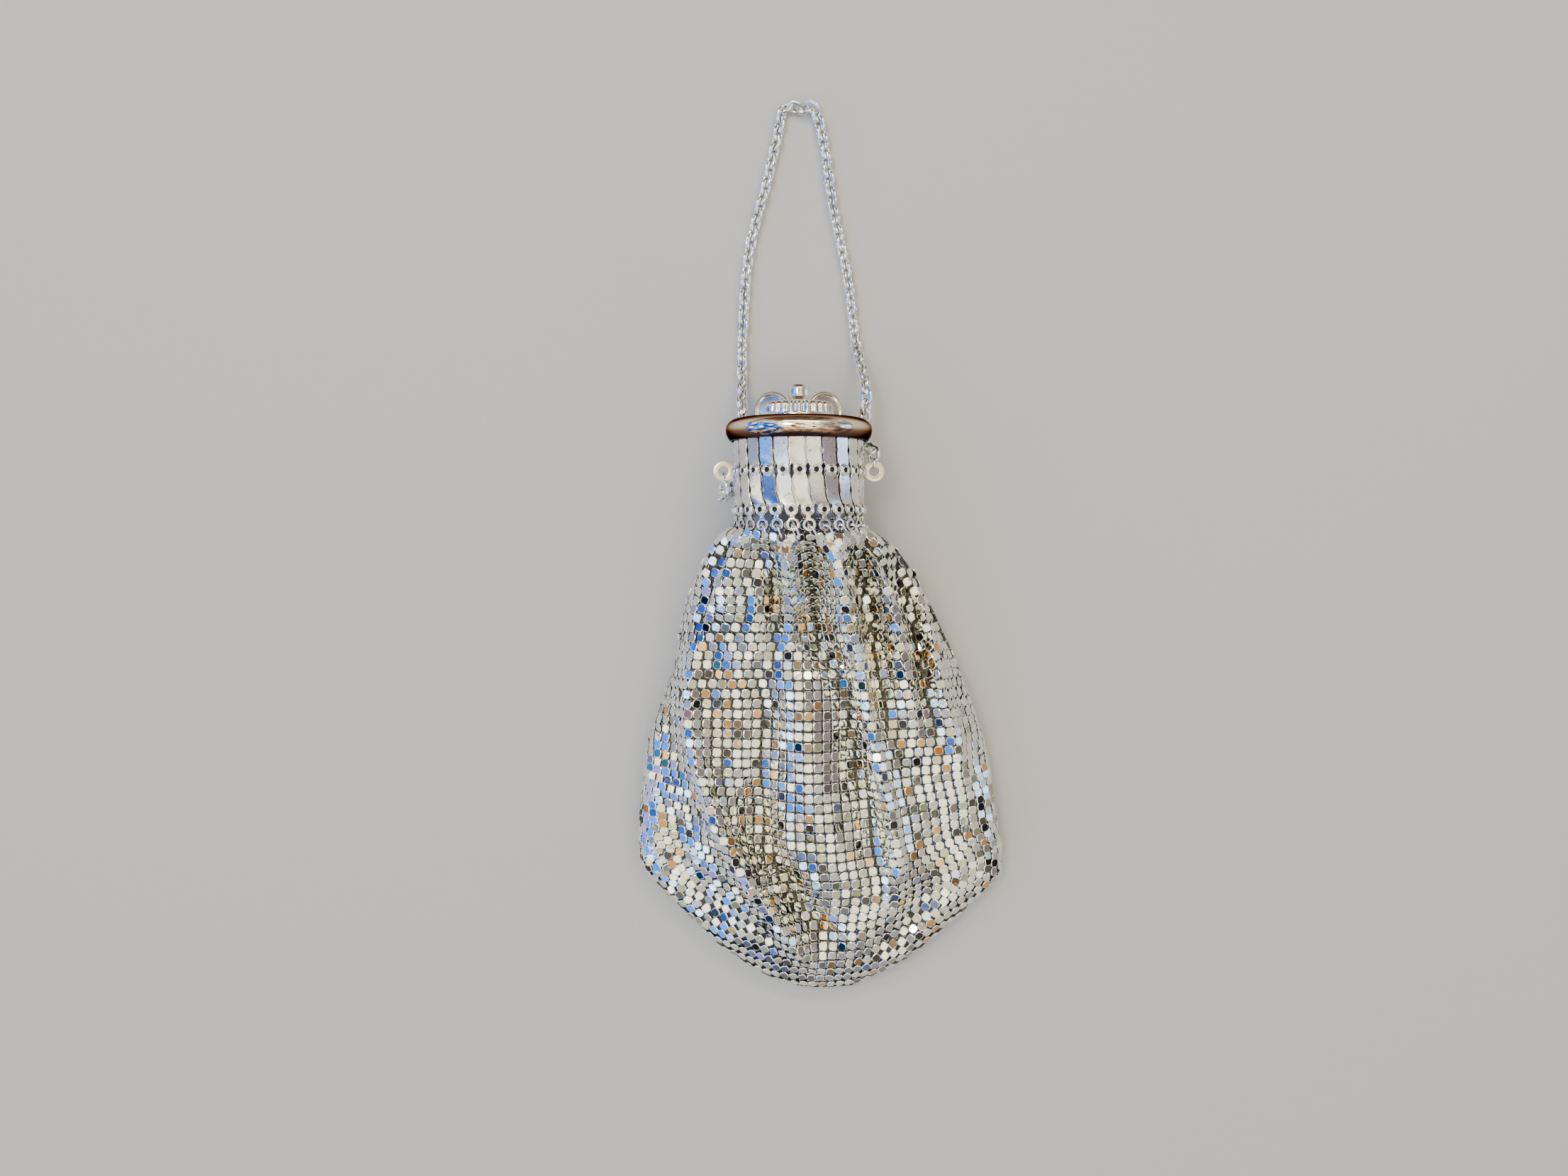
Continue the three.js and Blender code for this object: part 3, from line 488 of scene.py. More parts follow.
# The rolled rim has a painted highlight along its crown and painted shade, brown to black, toward its
# edges.
RIM_PAINTED_LIGHT = [
    (0.0, (1.0, 0.96, 0.84)),
    (0.2, (0.96, 0.86, 0.7)),
    (0.42, (0.3, 0.18, 0.13)),
    (0.7, (0.12, 0.065, 0.05)),
    (1.0, (0.05, 0.03, 0.025)),
]
rim_metal = plated_metal("rim_plate", (1.0, 0.98, 0.92), (0.94, 0.88, 0.78), (0.02, 0.06), 0.05, 90,
                         tint=RIM_PAINTED_LIGHT, blend="LINEAR", edge_tint=(0.22, 0.14, 0.11))
ring_metal = plated_metal("brass_ring", (0.9, 0.82, 0.66), (0.72, 0.6, 0.42), (0.12, 0.3), 0.08, 200)
chain_metal = plated_metal("chain_wire", (0.93, 0.94, 0.92), (0.72, 0.72, 0.68), (0.1, 0.26), 0.08, 300)


def piece(name, mesh, material, sharp=35):
    """A shown piece on the one body, in metres in the row frame."""
    mesh.name = name
    mesh.materials.clear()
    mesh.materials.append(material)
    if sharp:
        mesh.shade_smooth()
        mesh.set_sharp_from_angle(angle=math.radians(sharp))
    made = bpy.data.objects.new(name, mesh)
    bpy.context.scene.collection.objects.link(made)
    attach(made, "root")
    return made


def to_mesh(bm, matrix=None):
    """The bmesh as a mesh, taken to its place by the matrix; the bmesh is freed."""
    if matrix is not None:
        bmesh.ops.transform(bm, matrix=matrix, verts=bm.verts)
    mesh = bpy.data.meshes.new("part")
    bm.to_mesh(mesh)
    bm.free()
    return mesh


def rotate(bm, angle, axis):
    bmesh.ops.rotate(bm, verts=bm.verts, matrix=Matrix.Rotation(angle, 3, axis))


def move(bm, x, y, z):
    bmesh.ops.translate(bm, verts=bm.verts, vec=(x, y, z))


def face_out(bm):
    bmesh.ops.recalc_face_normals(bm, faces=bm.faces)


def spun(bm, geom, axis, steps, gap):
    """The geometry spun a full turn round the axis, with the meeting points merged."""
    bmesh.ops.spin(bm, geom=geom, axis=axis, cent=(0, 0, 0), angle=FULL_TURN, steps=steps,
                   use_merge=True)
    bmesh.ops.remove_doubles(bm, verts=bm.verts, dist=gap)
    face_out(bm)
    return bm


def turned(profile, steps):
    """A closed ring or disc: the (radius, height) profile spun round Y."""
    bm = bmesh.new()
    verts = [bm.verts.new((r, y, 0)) for r, y in profile]
    edges = [bm.edges.new(pair) for pair in zip(verts, verts[1:])]
    if profile[0] != profile[-1] and profile[0][0] > 0:
        edges.append(bm.edges.new((verts[-1], verts[0])))
    return spun(bm, verts + edges, (0, 1, 0), steps, 1e-4)


def washer(radius, hole, thickness, soft, steps):
    """A flat ring that stands upright, its hole along Z, with softened edges."""
    half = thickness / 2
    corners = [(hole, half), (radius, half), (radius, -half), (hole, -half)]
    bm = turned(rounded(corners, soft, 3), steps)
    rotate(bm, QUARTER_TURN, "X")
    return bm


def wire_ring(radius, wire, around, sides, squareness=1.0):
    """A ring of wire round Z; a squareness under 1 flattens the wire on four sides."""
    bm = bmesh.new()
    circle = bmesh.ops.create_circle(bm, segments=sides, radius=1)
    for v in bm.verts:
        v.co.x = math.copysign(abs(v.co.x) ** squareness, v.co.x) * wire
        v.co.y = math.copysign(abs(v.co.y) ** squareness, v.co.y) * wire
    rotate(bm, QUARTER_TURN, "X")
    move(bm, radius, 0, 0)
    return spun(bm, circle["verts"] + bm.edges[:], (0, 0, 1), around, 1e-5)


def rounded(points, radius, count=4):
    """The corner points of a profile, each cut back by radius and rounded."""
    made = []
    for i, (x, y) in enumerate(points):
        before = Vector(points[i - 1])
        after = Vector(points[(i + 1) % len(points)])
        here = Vector((x, y))
        if x == 0:
            made.append((x, y))
            continue
        back = (before - here).normalized() * min(radius, (before - here).length / 2.2)
        forth = (after - here).normalized() * min(radius, (after - here).length / 2.2)
        for k in range(count + 1):
            t = k / count
            p = here + back * (1 - t) ** 2 + forth * t ** 2
            made.append((p.x, p.y))
    return made


def stamp(name, template, places, tints, material):
    """One mesh of many copies of a small one, each with its own tint on its many-sided faces."""
    count = len(template.vertices)
    base = np.empty(count * 3)
    template.vertices.foreach_get("co", base)
    base = base.reshape(-1, 3)
    flat = [float(len(face.vertices) > 4) for face in template.polygons]
    template.attributes.new("tint", "FLOAT", "FACE")
    bm = bmesh.new()
    for (turn, origin), tint in zip(places, tints):
        spot = base @ turn.T + origin
        spot[:, 2] = np.maximum(spot[:, 2], FLOOR_GAP)
        template.vertices.foreach_set("co", spot.ravel() * MM)
        template.attributes["tint"].data.foreach_set("value", [tint * share for share in flat])
        bm.from_mesh(template)
    return piece(name, to_mesh(bm), material, sharp=28)


def tile_template():
    """A small disc between round and square, with a bevelled lip and a turned-down edge."""
    bm = bmesh.new()
    bmesh.ops.create_circle(bm, cap_ends=True, segments=TILE_SIDES, radius=1)
    rotate(bm, math.pi / TILE_SIDES, "Z")
    power = TILE_SQUARENESS
    for v in bm.verts:
        angle = math.atan2(v.co.y, v.co.x)
        reach = (abs(math.cos(angle)) ** power + abs(math.sin(angle)) ** power) ** (-1 / power)
        v.co = Vector((math.cos(angle), math.sin(angle), 0)) * reach * TILE_SIZE / 2
    top = bm.faces[:]
    move(bm, 0, 0, -TILE_RISE)
    bmesh.ops.inset_region(bm, faces=top, thickness=TILE_LIP, use_even_offset=True, use_boundary=True)
    bmesh.ops.translate(bm, verts=top[0].verts, vec=(0, 0, TILE_RISE))
    rim = [e for e in bm.edges if e.is_boundary]
    skirt = bmesh.ops.extrude_edge_only(bm, edges=rim)["geom"]
    low = [v for v in skirt if isinstance(v, bmesh.types.BMVert)]
    bmesh.ops.translate(bm, verts=low, vec=(0, 0, -TILE_SKIRT))
    bmesh.ops.scale(bm, verts=low, vec=(TILE_TAPER, TILE_TAPER, 1))
    face_out(bm)
    if top[0].normal.z < 0:
        bmesh.ops.reverse_faces(bm, faces=bm.faces)
    return to_mesh(bm)


def row_curves():
    """For each tile row, the closed section curve as angles and shares, from the mouth to the foot."""
    spine_steps = 3000
    round_steps = 1440
    halvings = 26
    shares = np.linspace(FIRST_ROW, FOOT_SHARE, spine_steps)
    spine = bag_point(np.full_like(shares, QUARTER_TURN), shares)
    length = run_lengths(spine)
    count = int(length[-1] / TILE_SPACING)
    angles = np.linspace(0, FULL_TURN, round_steps + 1)[:-1]
    rows = []
    for k in range(count + 1):
        centre = float(np.interp(k * length[-1] / count, length, shares))
        near_foot = float(smoothstep(centre, 0.3, 1.0))
        near_mouth = 1 - float(smoothstep(centre, 0.0, 0.1))
        bow = ROW_BOW * (near_foot + near_mouth)
        low = np.full_like(angles, FIRST_SHARE)
        high = np.full_like(angles, FOOT_SHARE)
        for _ in range(halvings):
            mid = (low + high) / 2
            x = bag_point(angles, mid)[:, 0] - BAG_X
            off = x / BAG_HALF_WIDTH - (section("right", mid) - section("left", mid)) / 2
            short = mid - centre + bow * off ** 2 < 0
            low = np.where(short, mid, low)
            high = np.where(short, high, mid)
        rows.append((angles, (low + high) / 2))
    return rows


def lay_half(angles, shares, centre_angle):
    """The angles and shares of one side's tiles in one row, and the width that each has.

    They are spaced outward from the side's middle.
    """
    order = np.mod(angles - centre_angle + math.pi, FULL_TURN) - math.pi
    keep = np.abs(order) <= QUARTER_TURN + 1e-6
    order = order[keep]
    row_shares = shares[keep]
    sort = np.argsort(order)
    order = order[sort]
    row_shares = row_shares[sort]
    length = run_lengths(bag_point(order + centre_angle, row_shares))
    middle = float(np.interp(0, order, length))
    spacing = max(TIGHT_SPACING, min(TILE_SPACING, length[-1] / COLUMNS))
    margin = spacing * EDGE_MARGIN
    reach = int(max(middle, length[-1] - middle) / spacing) + 1
    stops = middle + np.arange(-reach, reach + 1) * spacing
    stops = stops[(stops >= margin) & (stops <= length[-1] - margin)]
    return np.interp(stops, length, order) + centre_angle, np.interp(stops, length, row_shares), spacing


def tile_place(point, normal, along, squeeze, wobble):
    """The turn and the place of one tile, tipped a little at random."""
    shake = Vector((dice.gauss(0, 1), dice.gauss(0, 1), dice.gauss(0, 1)))
    loose = LOOSE_WOBBLE if dice.random() < LOOSE_SHARE else 1
    tip = (Vector(normal) + shake * (math.sin(math.radians(wobble)) * loose)).normalized()
    across = Vector(along).cross(tip).normalized()
    turn = np.array([across * squeeze, tip.cross(across), tip]).T
    return turn, point - normal * TILE_SINK


def build_mesh_cloth():
    tile = tile_template()
    ring = to_mesh(wire_ring(LINK_RING_RADIUS, LINK_RING_WIRE, 6, 4))
    rows = row_curves()
    for side, centre_angle in (("front", QUARTER_TURN), ("back", -QUARTER_TURN)):
        places = []
        tints = []
        ring_places = []
        for angles, shares in rows:
            angle, share, spacing = lay_half(angles, shares, centre_angle)
            if not len(angle):
                continue
            squeeze = max(spacing / TILE_SPACING, TIGHT_SQUEEZE)
            for point, normal, along in zip(*bag_frame(angle, share)):
                places.append(tile_place(point, normal, along, squeeze, TILE_WOBBLE[side]))
                tints.append(dice.random())
            mid_angle = angle[:-1] + np.diff(angle) / 2
            mid_share = np.minimum(share[:-1] + np.diff(share) / 2 + LINK_RING_STEP, LAST_SHARE)
            for point, normal, along in zip(*bag_frame(mid_angle, mid_share)):
                across = unit(np.cross(along, normal))
                turn = np.array([across, np.cross(normal, across), normal]).T
                ring_places.append((turn, point - normal * LINK_RING_SINK))
        tiles = stamp(f"mesh_tiles_{side}", tile.copy(), places, tints, tile_metal)
        stamp(f"mesh_rings_{side}", ring.copy(), ring_places, [0.0] * len(ring_places), prong_metal)
        if side == "front":
            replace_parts(tiles, "mesh_bag")


def build_web():
    """The linked backs of the tiles, seen in the gaps: a shell a little inside the tiles, near black,
    which paints the shade in the gaps.
    """
    bm = bmesh.new()
    bmesh.ops.create_grid(bm, x_segments=288, y_segments=150, size=1)
    around = (np.array([v.co.x for v in bm.verts]) / 2 + 0.5) * FULL_TURN
    down = np.array([v.co.y for v in bm.verts]) / 2 + 0.5
    edge = FIRST_ROW - 0.006 - 0.02 * np.cos(around) ** 2
    point, normal, _ = bag_frame(around, down * WEB_END + (1 - down) * edge)
    inside = point - normal * WEB_SINK
    inside[:, 2] = np.maximum(inside[:, 2], WEB_FLOOR)
    for vert, p in zip(bm.verts, inside):
        vert.co = Vector(p) * MM
    bmesh.ops.remove_doubles(bm, verts=bm.verts, dist=1e-6)
    face_out(bm)
    piece("mesh_web", to_mesh(bm), web_shade_metal, sharp=0)


# A slat's sideways course from one pivot to the next: shares of the way up and of half a pitch.
LEAN_UP = [0, 0.08, 0.3, 0.55, 0.8, 1]
LEAN_ASIDE = [0, 0.1, 0.66, 0.82, 0.94, 1]


def lean(height):
    """Sideways place of a slat's middle: half a pitch per row, most of it just above each pivot."""
    if height < 0:
        return -height * 0.1
    rows = height / ROW_SPACING
    whole = math.floor(rows)
    eased = float(spline(LEAN_UP, LEAN_ASIDE, rows - whole))
    if rows > 1:
        eased *= 0.35
    return -(whole + eased) * GATE_RADIUS * SLAT_PITCH / 2


def slat_half(height, plain):
    """Half width of a slat at a height: round about each pivot, pinched halfway between rows."""
    phase = (height / ROW_SPACING) % 1.0
    off = min(phase, 1 - phase) * ROW_SPACING
    flange = math.sqrt(max(FLANGE_RADIUS ** 2 - off * off, 0.0))
    if height < 0:
        return max(flange, 0.3)
    pinch = math.exp(-((phase - 0.5) / 0.045) ** 2)
    wave = 0.5 - 0.5 * math.cos(2 * FULL_TURN * phase)
    neck = 1 - 0.42 * math.exp(-(off / 1.5) ** 2)
    return max(plain * (0.97 + 0.05 * wave - 0.12 * pinch) * neck, flange, 0.3)


def slat_strip(thickness, direction, plain, radius):
    """One bent slat: an outline swept up the collar as a row of cross pieces, then given thickness."""
    bm = bmesh.new()
    bottom = -FLANGE_RADIUS + 0.05
    bmesh.ops.create_grid(bm, x_segments=4, y_segments=64, size=1)
    for v in bm.verts:
        height = bottom + (v.co.y / 2 + 0.5) * (GATE_TOP - bottom)
        wide = v.co.x * slat_half(height, plain)
        angle = lean(height) * direction / radius
        v.co = Vector((radius * math.sin(angle) + wide * math.cos(angle), height,
                       radius * math.cos(angle) - wide * math.sin(angle)))
    face_out(bm)
    face = bm.faces[:][0]
    if face.normal.dot(face.calc_center_median() * Vector((1, 0, 1))) < 0:
        bmesh.ops.reverse_faces(bm, faces=bm.faces)
    bmesh.ops.solidify(bm, geom=bm.faces[:], thickness=thickness)
    face_out(bm)
    edges = [e for e in bm.edges if len(e.link_faces) == 2 and e.calc_face_angle() > 1.0]
    bmesh.ops.bevel(bm, geom=edges, offset=0.1, segments=1, affect="EDGES", profile=0.5, material=-1)
    return bm


def around_neck(source, angle, height=0):
    """A copy of the source, raised along the neck's axis and then turned round it."""
    bm = source.copy()
    move(bm, 0, height, 0)
    rotate(bm, angle, "Y")
    return bm


def gather(target, source):
    """Adds the source to the target and frees it."""
    mesh = bpy.data.meshes.new("part")
    source.to_mesh(mesh)
    source.free()
    target.from_mesh(mesh)
    bpy.data.meshes.remove(mesh)


def build_gate():
    outer = slat_strip(SLAT_THICKNESS, 1, SLAT_WIDTH / 2, GATE_RADIUS)
    inner = slat_strip(INNER_SLAT_THICKNESS, -1, INNER_SLAT_WIDTH / 2, GATE_RADIUS - INNER_SLAT_GAP)
    loop = washer(LOOP_RADIUS, LOOP_HOLE, LOOP_THICKNESS, 0.26, 24)
    move(loop, 0, -LOOP_DROP, GATE_RADIUS - LOOP_SINK)
    rotate(loop, lean(-LOOP_DROP) / GATE_RADIUS, "Y")
    stem = bmesh.new()
    bmesh.ops.create_cube(stem, size=1)
    bmesh.ops.scale(stem, verts=stem.verts, vec=STEM_SIZE)
    bmesh.ops.bevel(stem, geom=stem.edges[:], offset=0.12, segments=2, affect="EDGES", profile=0.5,
                    material=-1)
    move(stem, 0, STEM_HEIGHT, GATE_RADIUS - STEM_SINK)
    rotate(stem, lean(STEM_HEIGHT) / GATE_RADIUS, "Y")
    eyelet = turned(rounded([
        (0.74, -1.2), (0.74, 0.62), (1.02, 0.78), (1.26, 0.6), (1.36, 0.3),
        (1.52, 0.46), (EYELET_RADIUS - 0.08, 0.42), (EYELET_RADIUS, 0.2), (EYELET_RADIUS, 0.0),
        (1.05, -0.05), (1.05, -1.2),
    ], 0.09, 2), 20)
    rotate(eyelet, QUARTER_TURN, "X")
    move(eyelet, 0, 0, GATE_RADIUS)
    # A near-black disc in each eyelet's hole, standing in for the shade inside it.
    bore = bmesh.new()
    bmesh.ops.create_circle(bore, cap_ends=True, segments=14, radius=BORE_RADIUS)
    move(bore, 0, 0, GATE_RADIUS + 0.12)
    slats = bmesh.new()
    lattice = bmesh.new()
    rivets = bmesh.new()
    bores = bmesh.new()
    for i in range(SLAT_COUNT):
        angle = (i + 0.5) * SLAT_PITCH
        for source in (outer, loop, stem):
            gather(slats, around_neck(source, angle))
        gather(lattice, around_neck(inner, angle))
        for height in (0, ROW_SPACING):
            pivot = angle + lean(height) / GATE_RADIUS
            gather(rivets, around_neck(eyelet, pivot, height))
            gather(bores, around_neck(bore, pivot, height))
    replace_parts(piece("gate_slats", to_mesh(slats, NECK), slat_metal, 30), "gate")
    piece("gate_inner_slats", to_mesh(lattice, NECK), inner_shade_metal, 30)
    piece("gate_eyelets", to_mesh(rivets, NECK), slat_metal, 40)
    piece("gate_eyelet_bores", to_mesh(bores, NECK), bore_shade_metal, 40)


def applied(target, cutters):
    """Cuts the given objects out of a piece and keeps the result as its mesh."""
    for cutter in cutters:
        cut = target.modifiers.new("cut", "BOOLEAN")
        cut.operation = "DIFFERENCE"
        cut.solver = "EXACT"
        cut.object = cutter
    graph = bpy.context.evaluated_depsgraph_get()
    mesh = bpy.data.meshes.new_from_object(target.evaluated_get(graph))
    target.modifiers.clear()
    for cutter in cutters:
        bpy.data.objects.remove(cutter)
    return mesh


def loose_object(bm):
    made = bpy.data.objects.new("cutter", to_mesh(bm))
    bpy.context.scene.collection.objects.link(made)
    return made


def rim_painted_shade(place):
    """How much painted shade the lid has at a place: least on its plate and crown, most toward the edges
    and where it turns away from the top.
    """
    radius = math.hypot(place.x, place.z)
    if radius < LID_PLATE_RADIUS:
        return 0.1
    off = (place.y - RIM_MIDDLE - CROWN_LIFT) / (RIM_TOP - RIM_MIDDLE)
    strength = 1.3 if off > 0 else 0.62
    turned_away = 1 - place.z / radius
    return min(1.0, strength * abs(off) ** 1.5 + 0.3 * turned_away)


def build_cap():
    profile = [
        (0, LID_TOP),
        (17.6, LID_TOP),
        (18.6, LID_TOP + 0.05),
        (19.6, RIM_TOP + 0.35),
        (20.3, RIM_TOP + 0.12),
        (20.95, RIM_TOP - 0.3),
        (21.5, RIM_TOP - 0.85),
        (21.93, RIM_TOP - 1.5),
        (LID_RADIUS - 0.08, RIM_MIDDLE + 0.85),
        (LID_RADIUS, RIM_MIDDLE + 0.1),
        (LID_RADIUS - 0.06, RIM_MIDDLE - 0.7),
        (21.95, RIM_BOTTOM + 1.6),
        (21.6, RIM_BOTTOM + 0.9),
        (21.2, RIM_BOTTOM + 0.35),
        (20.85, RIM_BOTTOM),
        (LID_BORE + 0.1, RIM_BOTTOM),
        (LID_BORE, RIM_BOTTOM + 0.2),
        (LID_BORE, LID_TOP - 1.2),
        (LID_BORE - 0.2, LID_TOP - LID_WALL),
        (0, LID_TOP - LID_WALL),
    ]
    lid = loose_object(turned(profile, 144))
    cutters = []
    for angle in (NOTCH_RIGHT, NOTCH_LEFT):
        notch = bmesh.new()
        bmesh.ops.create_cone(notch, cap_ends=True, segments=28, radius1=NOTCH_HALF_WIDTH,
                              radius2=NOTCH_HALF_WIDTH, depth=14)
        rotate(notch, QUARTER_TURN, "X")
        move(notch, 0, RIM_MIDDLE, NOTCH_RADIUS + 0.2)
        rotate(notch, angle, "Y")
        cutters.append(loose_object(notch))
    mesh = applied(lid, cutters)
    bpy.data.objects.remove(lid)
    # Each vertex's amount of painted shade, from the bright crown to the dark edges.
    rim_shade_amounts = [rim_painted_shade(v.co) for v in mesh.vertices]
    mesh.attributes.new("tint", "FLOAT", "POINT").data.foreach_set("value", rim_shade_amounts)
    mesh.transform(NECK)
    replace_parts(piece("lid_cap", mesh, rim_metal, 40), "lid")


def build_boss():
    boss = turned([
        (0, BOSS_TOP - 0.15), (5.0, BOSS_TOP - 0.12), (8.4, BOSS_TOP - 0.1), (9.3, BOSS_TOP - 0.3),
        (9.9, BOSS_TOP - 0.9), (10.15, BOSS_TOP - 1.9), (10.25, BOSS_BASE + 2.0),
        (10.35, BOSS_BASE + 1.35), (10.6, BOSS_BASE + 1.1), (10.7, BOSS_BASE + 0.8),
        (10.7, BOSS_BASE + 0.2), (10.5, BOSS_BASE), (0, BOSS_BASE),
    ], BOSS_FLUTES * 8)
    for v in boss.verts:
        radius = math.hypot(v.co.x, v.co.z)
        if radius < FLUTE_START or v.co.y < BOSS_BASE + 1.3:
            continue
        wave = math.cos(BOSS_FLUTES * math.atan2(v.co.x, v.co.z))
        stretch = 1 + FLUTE_DEPTH * min(1.0, (radius - FLUTE_START) / 0.8) * wave / radius
        v.co.x *= stretch
        v.co.z *= stretch
        v.co.y += 0.16 * wave * max(0.0, min(1.0, v.co.y - BOSS_TOP + 1.4))
    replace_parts(piece("fluted_boss", to_mesh(boss, NECK), lid_metal, 50), "lid_boss")


def build_knob():
    base = BOSS_TOP + 0.05
    shares = [(0.7, 0), (0.78, 0.12), (1, 0.32), (1, 0.74), (0.86, 0.94), (0.62, 1), (0, 0.97)]
    profile = [(KNOB_RADIUS * out, base + KNOB_HEIGHT * up) for out, up in shares]
    knob = turned(rounded([(0, base), *profile], 0.35, 4), 48)
    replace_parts(piece("round_knob", to_mesh(knob, NECK), lid_metal, 50), "lid_knob")


def build_lobe(side, name):
    lobe = turned([
        (0, 0.35), (4.5, 0.28), (4.85, 0.34), (5.1, 0.66), (5.5, 0.74), (5.9, 0.52),
        (LOBE_RADIUS, 0.15), (LOBE_RADIUS, -0.15), (5.9, -0.52), (5.5, -0.7), (5.1, -0.62),
        (4.85, -0.34), (4.5, -0.28), (0, -0.35),
    ], 56)
    rotate(lobe, QUARTER_TURN, "X")
    rotate(lobe, side * LOBE_YAW, "Y")
    move(lobe, side * LOBE_X, LOBE_Y, LOBE_Z)
    cut = bmesh.ops.bisect_plane(lobe, geom=lobe.verts[:] + lobe.edges[:] + lobe.faces[:],
                                 plane_co=(0, LID_TOP + 0.05, 0), plane_no=(0, -1, 0),
                                 clear_outer=True)
    edges = [e for e in cut["geom_cut"] if isinstance(e, bmesh.types.BMEdge)]
    bmesh.ops.holes_fill(lobe, edges=edges, sides=0)
    face_out(lobe)
    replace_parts(piece(f"round_lobe_{name}", to_mesh(lobe, NECK), lobe_shade_metal, 50),
                f"lid_lobe_{name}")


def build_side_rings(side, name):
    ring = washer(SIDE_RING_RADIUS, SIDE_RING_HOLE, SIDE_RING_THICKNESS, 0.16, 48)
    move(ring, side * SIDE_RING_X, SIDE_RING_Y, 0)
    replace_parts(piece(f"ring_tab_{name}", to_mesh(ring, NECK), ring_metal, 40),
                f"side_ring_{name}")
    jump = wire_ring(JUMP_RADIUS, JUMP_WIRE, 28, 10)
    rotate(jump, QUARTER_TURN, "Y")
    move(jump, side * SIDE_RING_X, SIDE_RING_Y + side * SIDE_RING_MIDDLE, 0)
    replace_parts(piece(f"wire_ring_{name}", to_mesh(jump, NECK), chain_metal, 60),
                f"jump_ring_{name}")


def neck_point(angle, radius, along):
    """A place round the neck's axis, in millimetres in the row frame."""
    local = Vector((radius * math.sin(angle), along, radius * math.cos(angle)))
    return NECK @ local / MM


def chain_end(side, further):
    """A place beside the wire ring where the chain starts or ends."""
    y = SIDE_RING_Y + side * (SIDE_RING_MIDDLE + JUMP_RADIUS + JUMP_WIRE + 0.7 + further)
    return NECK @ Vector((side * SIDE_RING_X, y, 0)) / MM


def chain_route():
    table = [Vector((NECK_X + x, TABLE_SHIFT_Y + y, CHAIN_HEIGHT)) for x, y in CHAIN_ON_TABLE]
    degree = math.pi / 180
    return [
        chain_end(-1, -1.6),
        chain_end(-1, 0.6),
        neck_point(258 * degree, SIDE_RING_X + 0.9, SIDE_RING_Y - 7.6),
        neck_point(245 * degree, SIDE_RING_X + 0.6, SIDE_RING_Y - 5.2),
        neck_point(NOTCH_LEFT + 3 * degree, NOTCH_RADIUS + 1.0, SIDE_RING_Y),
        neck_point(NOTCH_LEFT, NOTCH_RADIUS, RIM_BOTTOM - 0.5),
        neck_point(NOTCH_LEFT, NOTCH_RADIUS, RIM_TOP),
        neck_point(NOTCH_LEFT, NOTCH_RADIUS, RIM_TOP + 4),
        *table,
        neck_point(NOTCH_RIGHT, NOTCH_RADIUS + 0.2, RIM_TOP + 10),
        neck_point(NOTCH_RIGHT, NOTCH_RADIUS, RIM_TOP + 3),
        neck_point(NOTCH_RIGHT, NOTCH_RADIUS, RIM_BOTTOM),
        neck_point(NOTCH_RIGHT - 7 * degree, SIDE_RING_X, RIM_BOTTOM - 2.1),
        chain_end(1, 0.4),
        chain_end(1, -1.6),
    ]


def smooth_route(points, count):
    """Even points along a centripetal curve through the route, kept at or above resting height."""
    points = [Vector(p) for p in points]
    ends = [points[0] * 2 - points[1], *points, points[-1] * 2 - points[-2]]
    fine = []
    steps = 40
    for i in range(1, len(ends) - 2):
        p0, p1, p2, p3 = ends[i - 1:i + 3]
        t = [0.0]
        for a, b in ((p0, p1), (p1, p2), (p2, p3)):
            t.append(t[-1] + max((b - a).length, 1e-6) ** 0.5)
        for k in range(steps):
            u = t[1] + (t[2] - t[1]) * k / steps
            a1 = p0.lerp(p1, (u - t[0]) / (t[1] - t[0]))
            a2 = p1.lerp(p2, (u - t[1]) / (t[2] - t[1]))
            a3 = p2.lerp(p3, (u - t[2]) / (t[3] - t[2]))
            b1 = a1.lerp(a2, (u - t[0]) / (t[2] - t[0]))
            b2 = a2.lerp(a3, (u - t[1]) / (t[3] - t[1]))
            fine.append(b1.lerp(b2, (u - t[1]) / (t[2] - t[1])))
    fine.append(points[-1])
    path = np.array(fine)
    path[:, 2] = np.maximum(path[:, 2], CHAIN_HEIGHT)
    length = run_lengths(path)
    stops = np.linspace(0, length[-1], count)
    even = np.stack([np.interp(stops, length, path[:, k]) for k in range(3)], axis=1)
    return even, length[-1]


def link_template():
    """One oval link of softly squared wire, long in Y."""
    straight = (LINK_LENGTH - LINK_WIDTH) / 2
    radius = LINK_WIDTH / 2 - LINK_WIRE
    bm = wire_ring(radius, LINK_WIRE, 20, 12, LINK_SQUARENESS)
    for v in bm.verts:
        v.co.y += straight * max(-1.0, min(1.0, v.co.y / (radius * 0.5)))
    return to_mesh(bm)


def build_chain():
    _, total = smooth_route(chain_route(), 10)
    count = int(round(total / LINK_PITCH))
    path, _ = smooth_route(chain_route(), 2 * count + 1)
    places = []
    for i in range(count):
        middle = path[2 * i + 1]
        way = Vector(path[2 * i + 2] - path[2 * i]).normalized()
        up = Vector((0, 0, 1)) if abs(way.z) < 0.9 else Vector((1, 0, 0))
        across = way.cross(up).normalized()
        rise = across.cross(way)
        turn = LINK_TURN if i % 2 else -LINK_TURN
        angle = math.radians(turn + dice.uniform(-LINK_SWAY, LINK_SWAY))
        wide = across * math.cos(angle) + rise * math.sin(angle)
        flat = wide.cross(way)
        places.append((np.array([wide, way, flat]).T, middle))
    links = stamp("chain_links", link_template(), places, [LINK_TINT] * count, chain_metal)
    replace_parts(links, "chain")


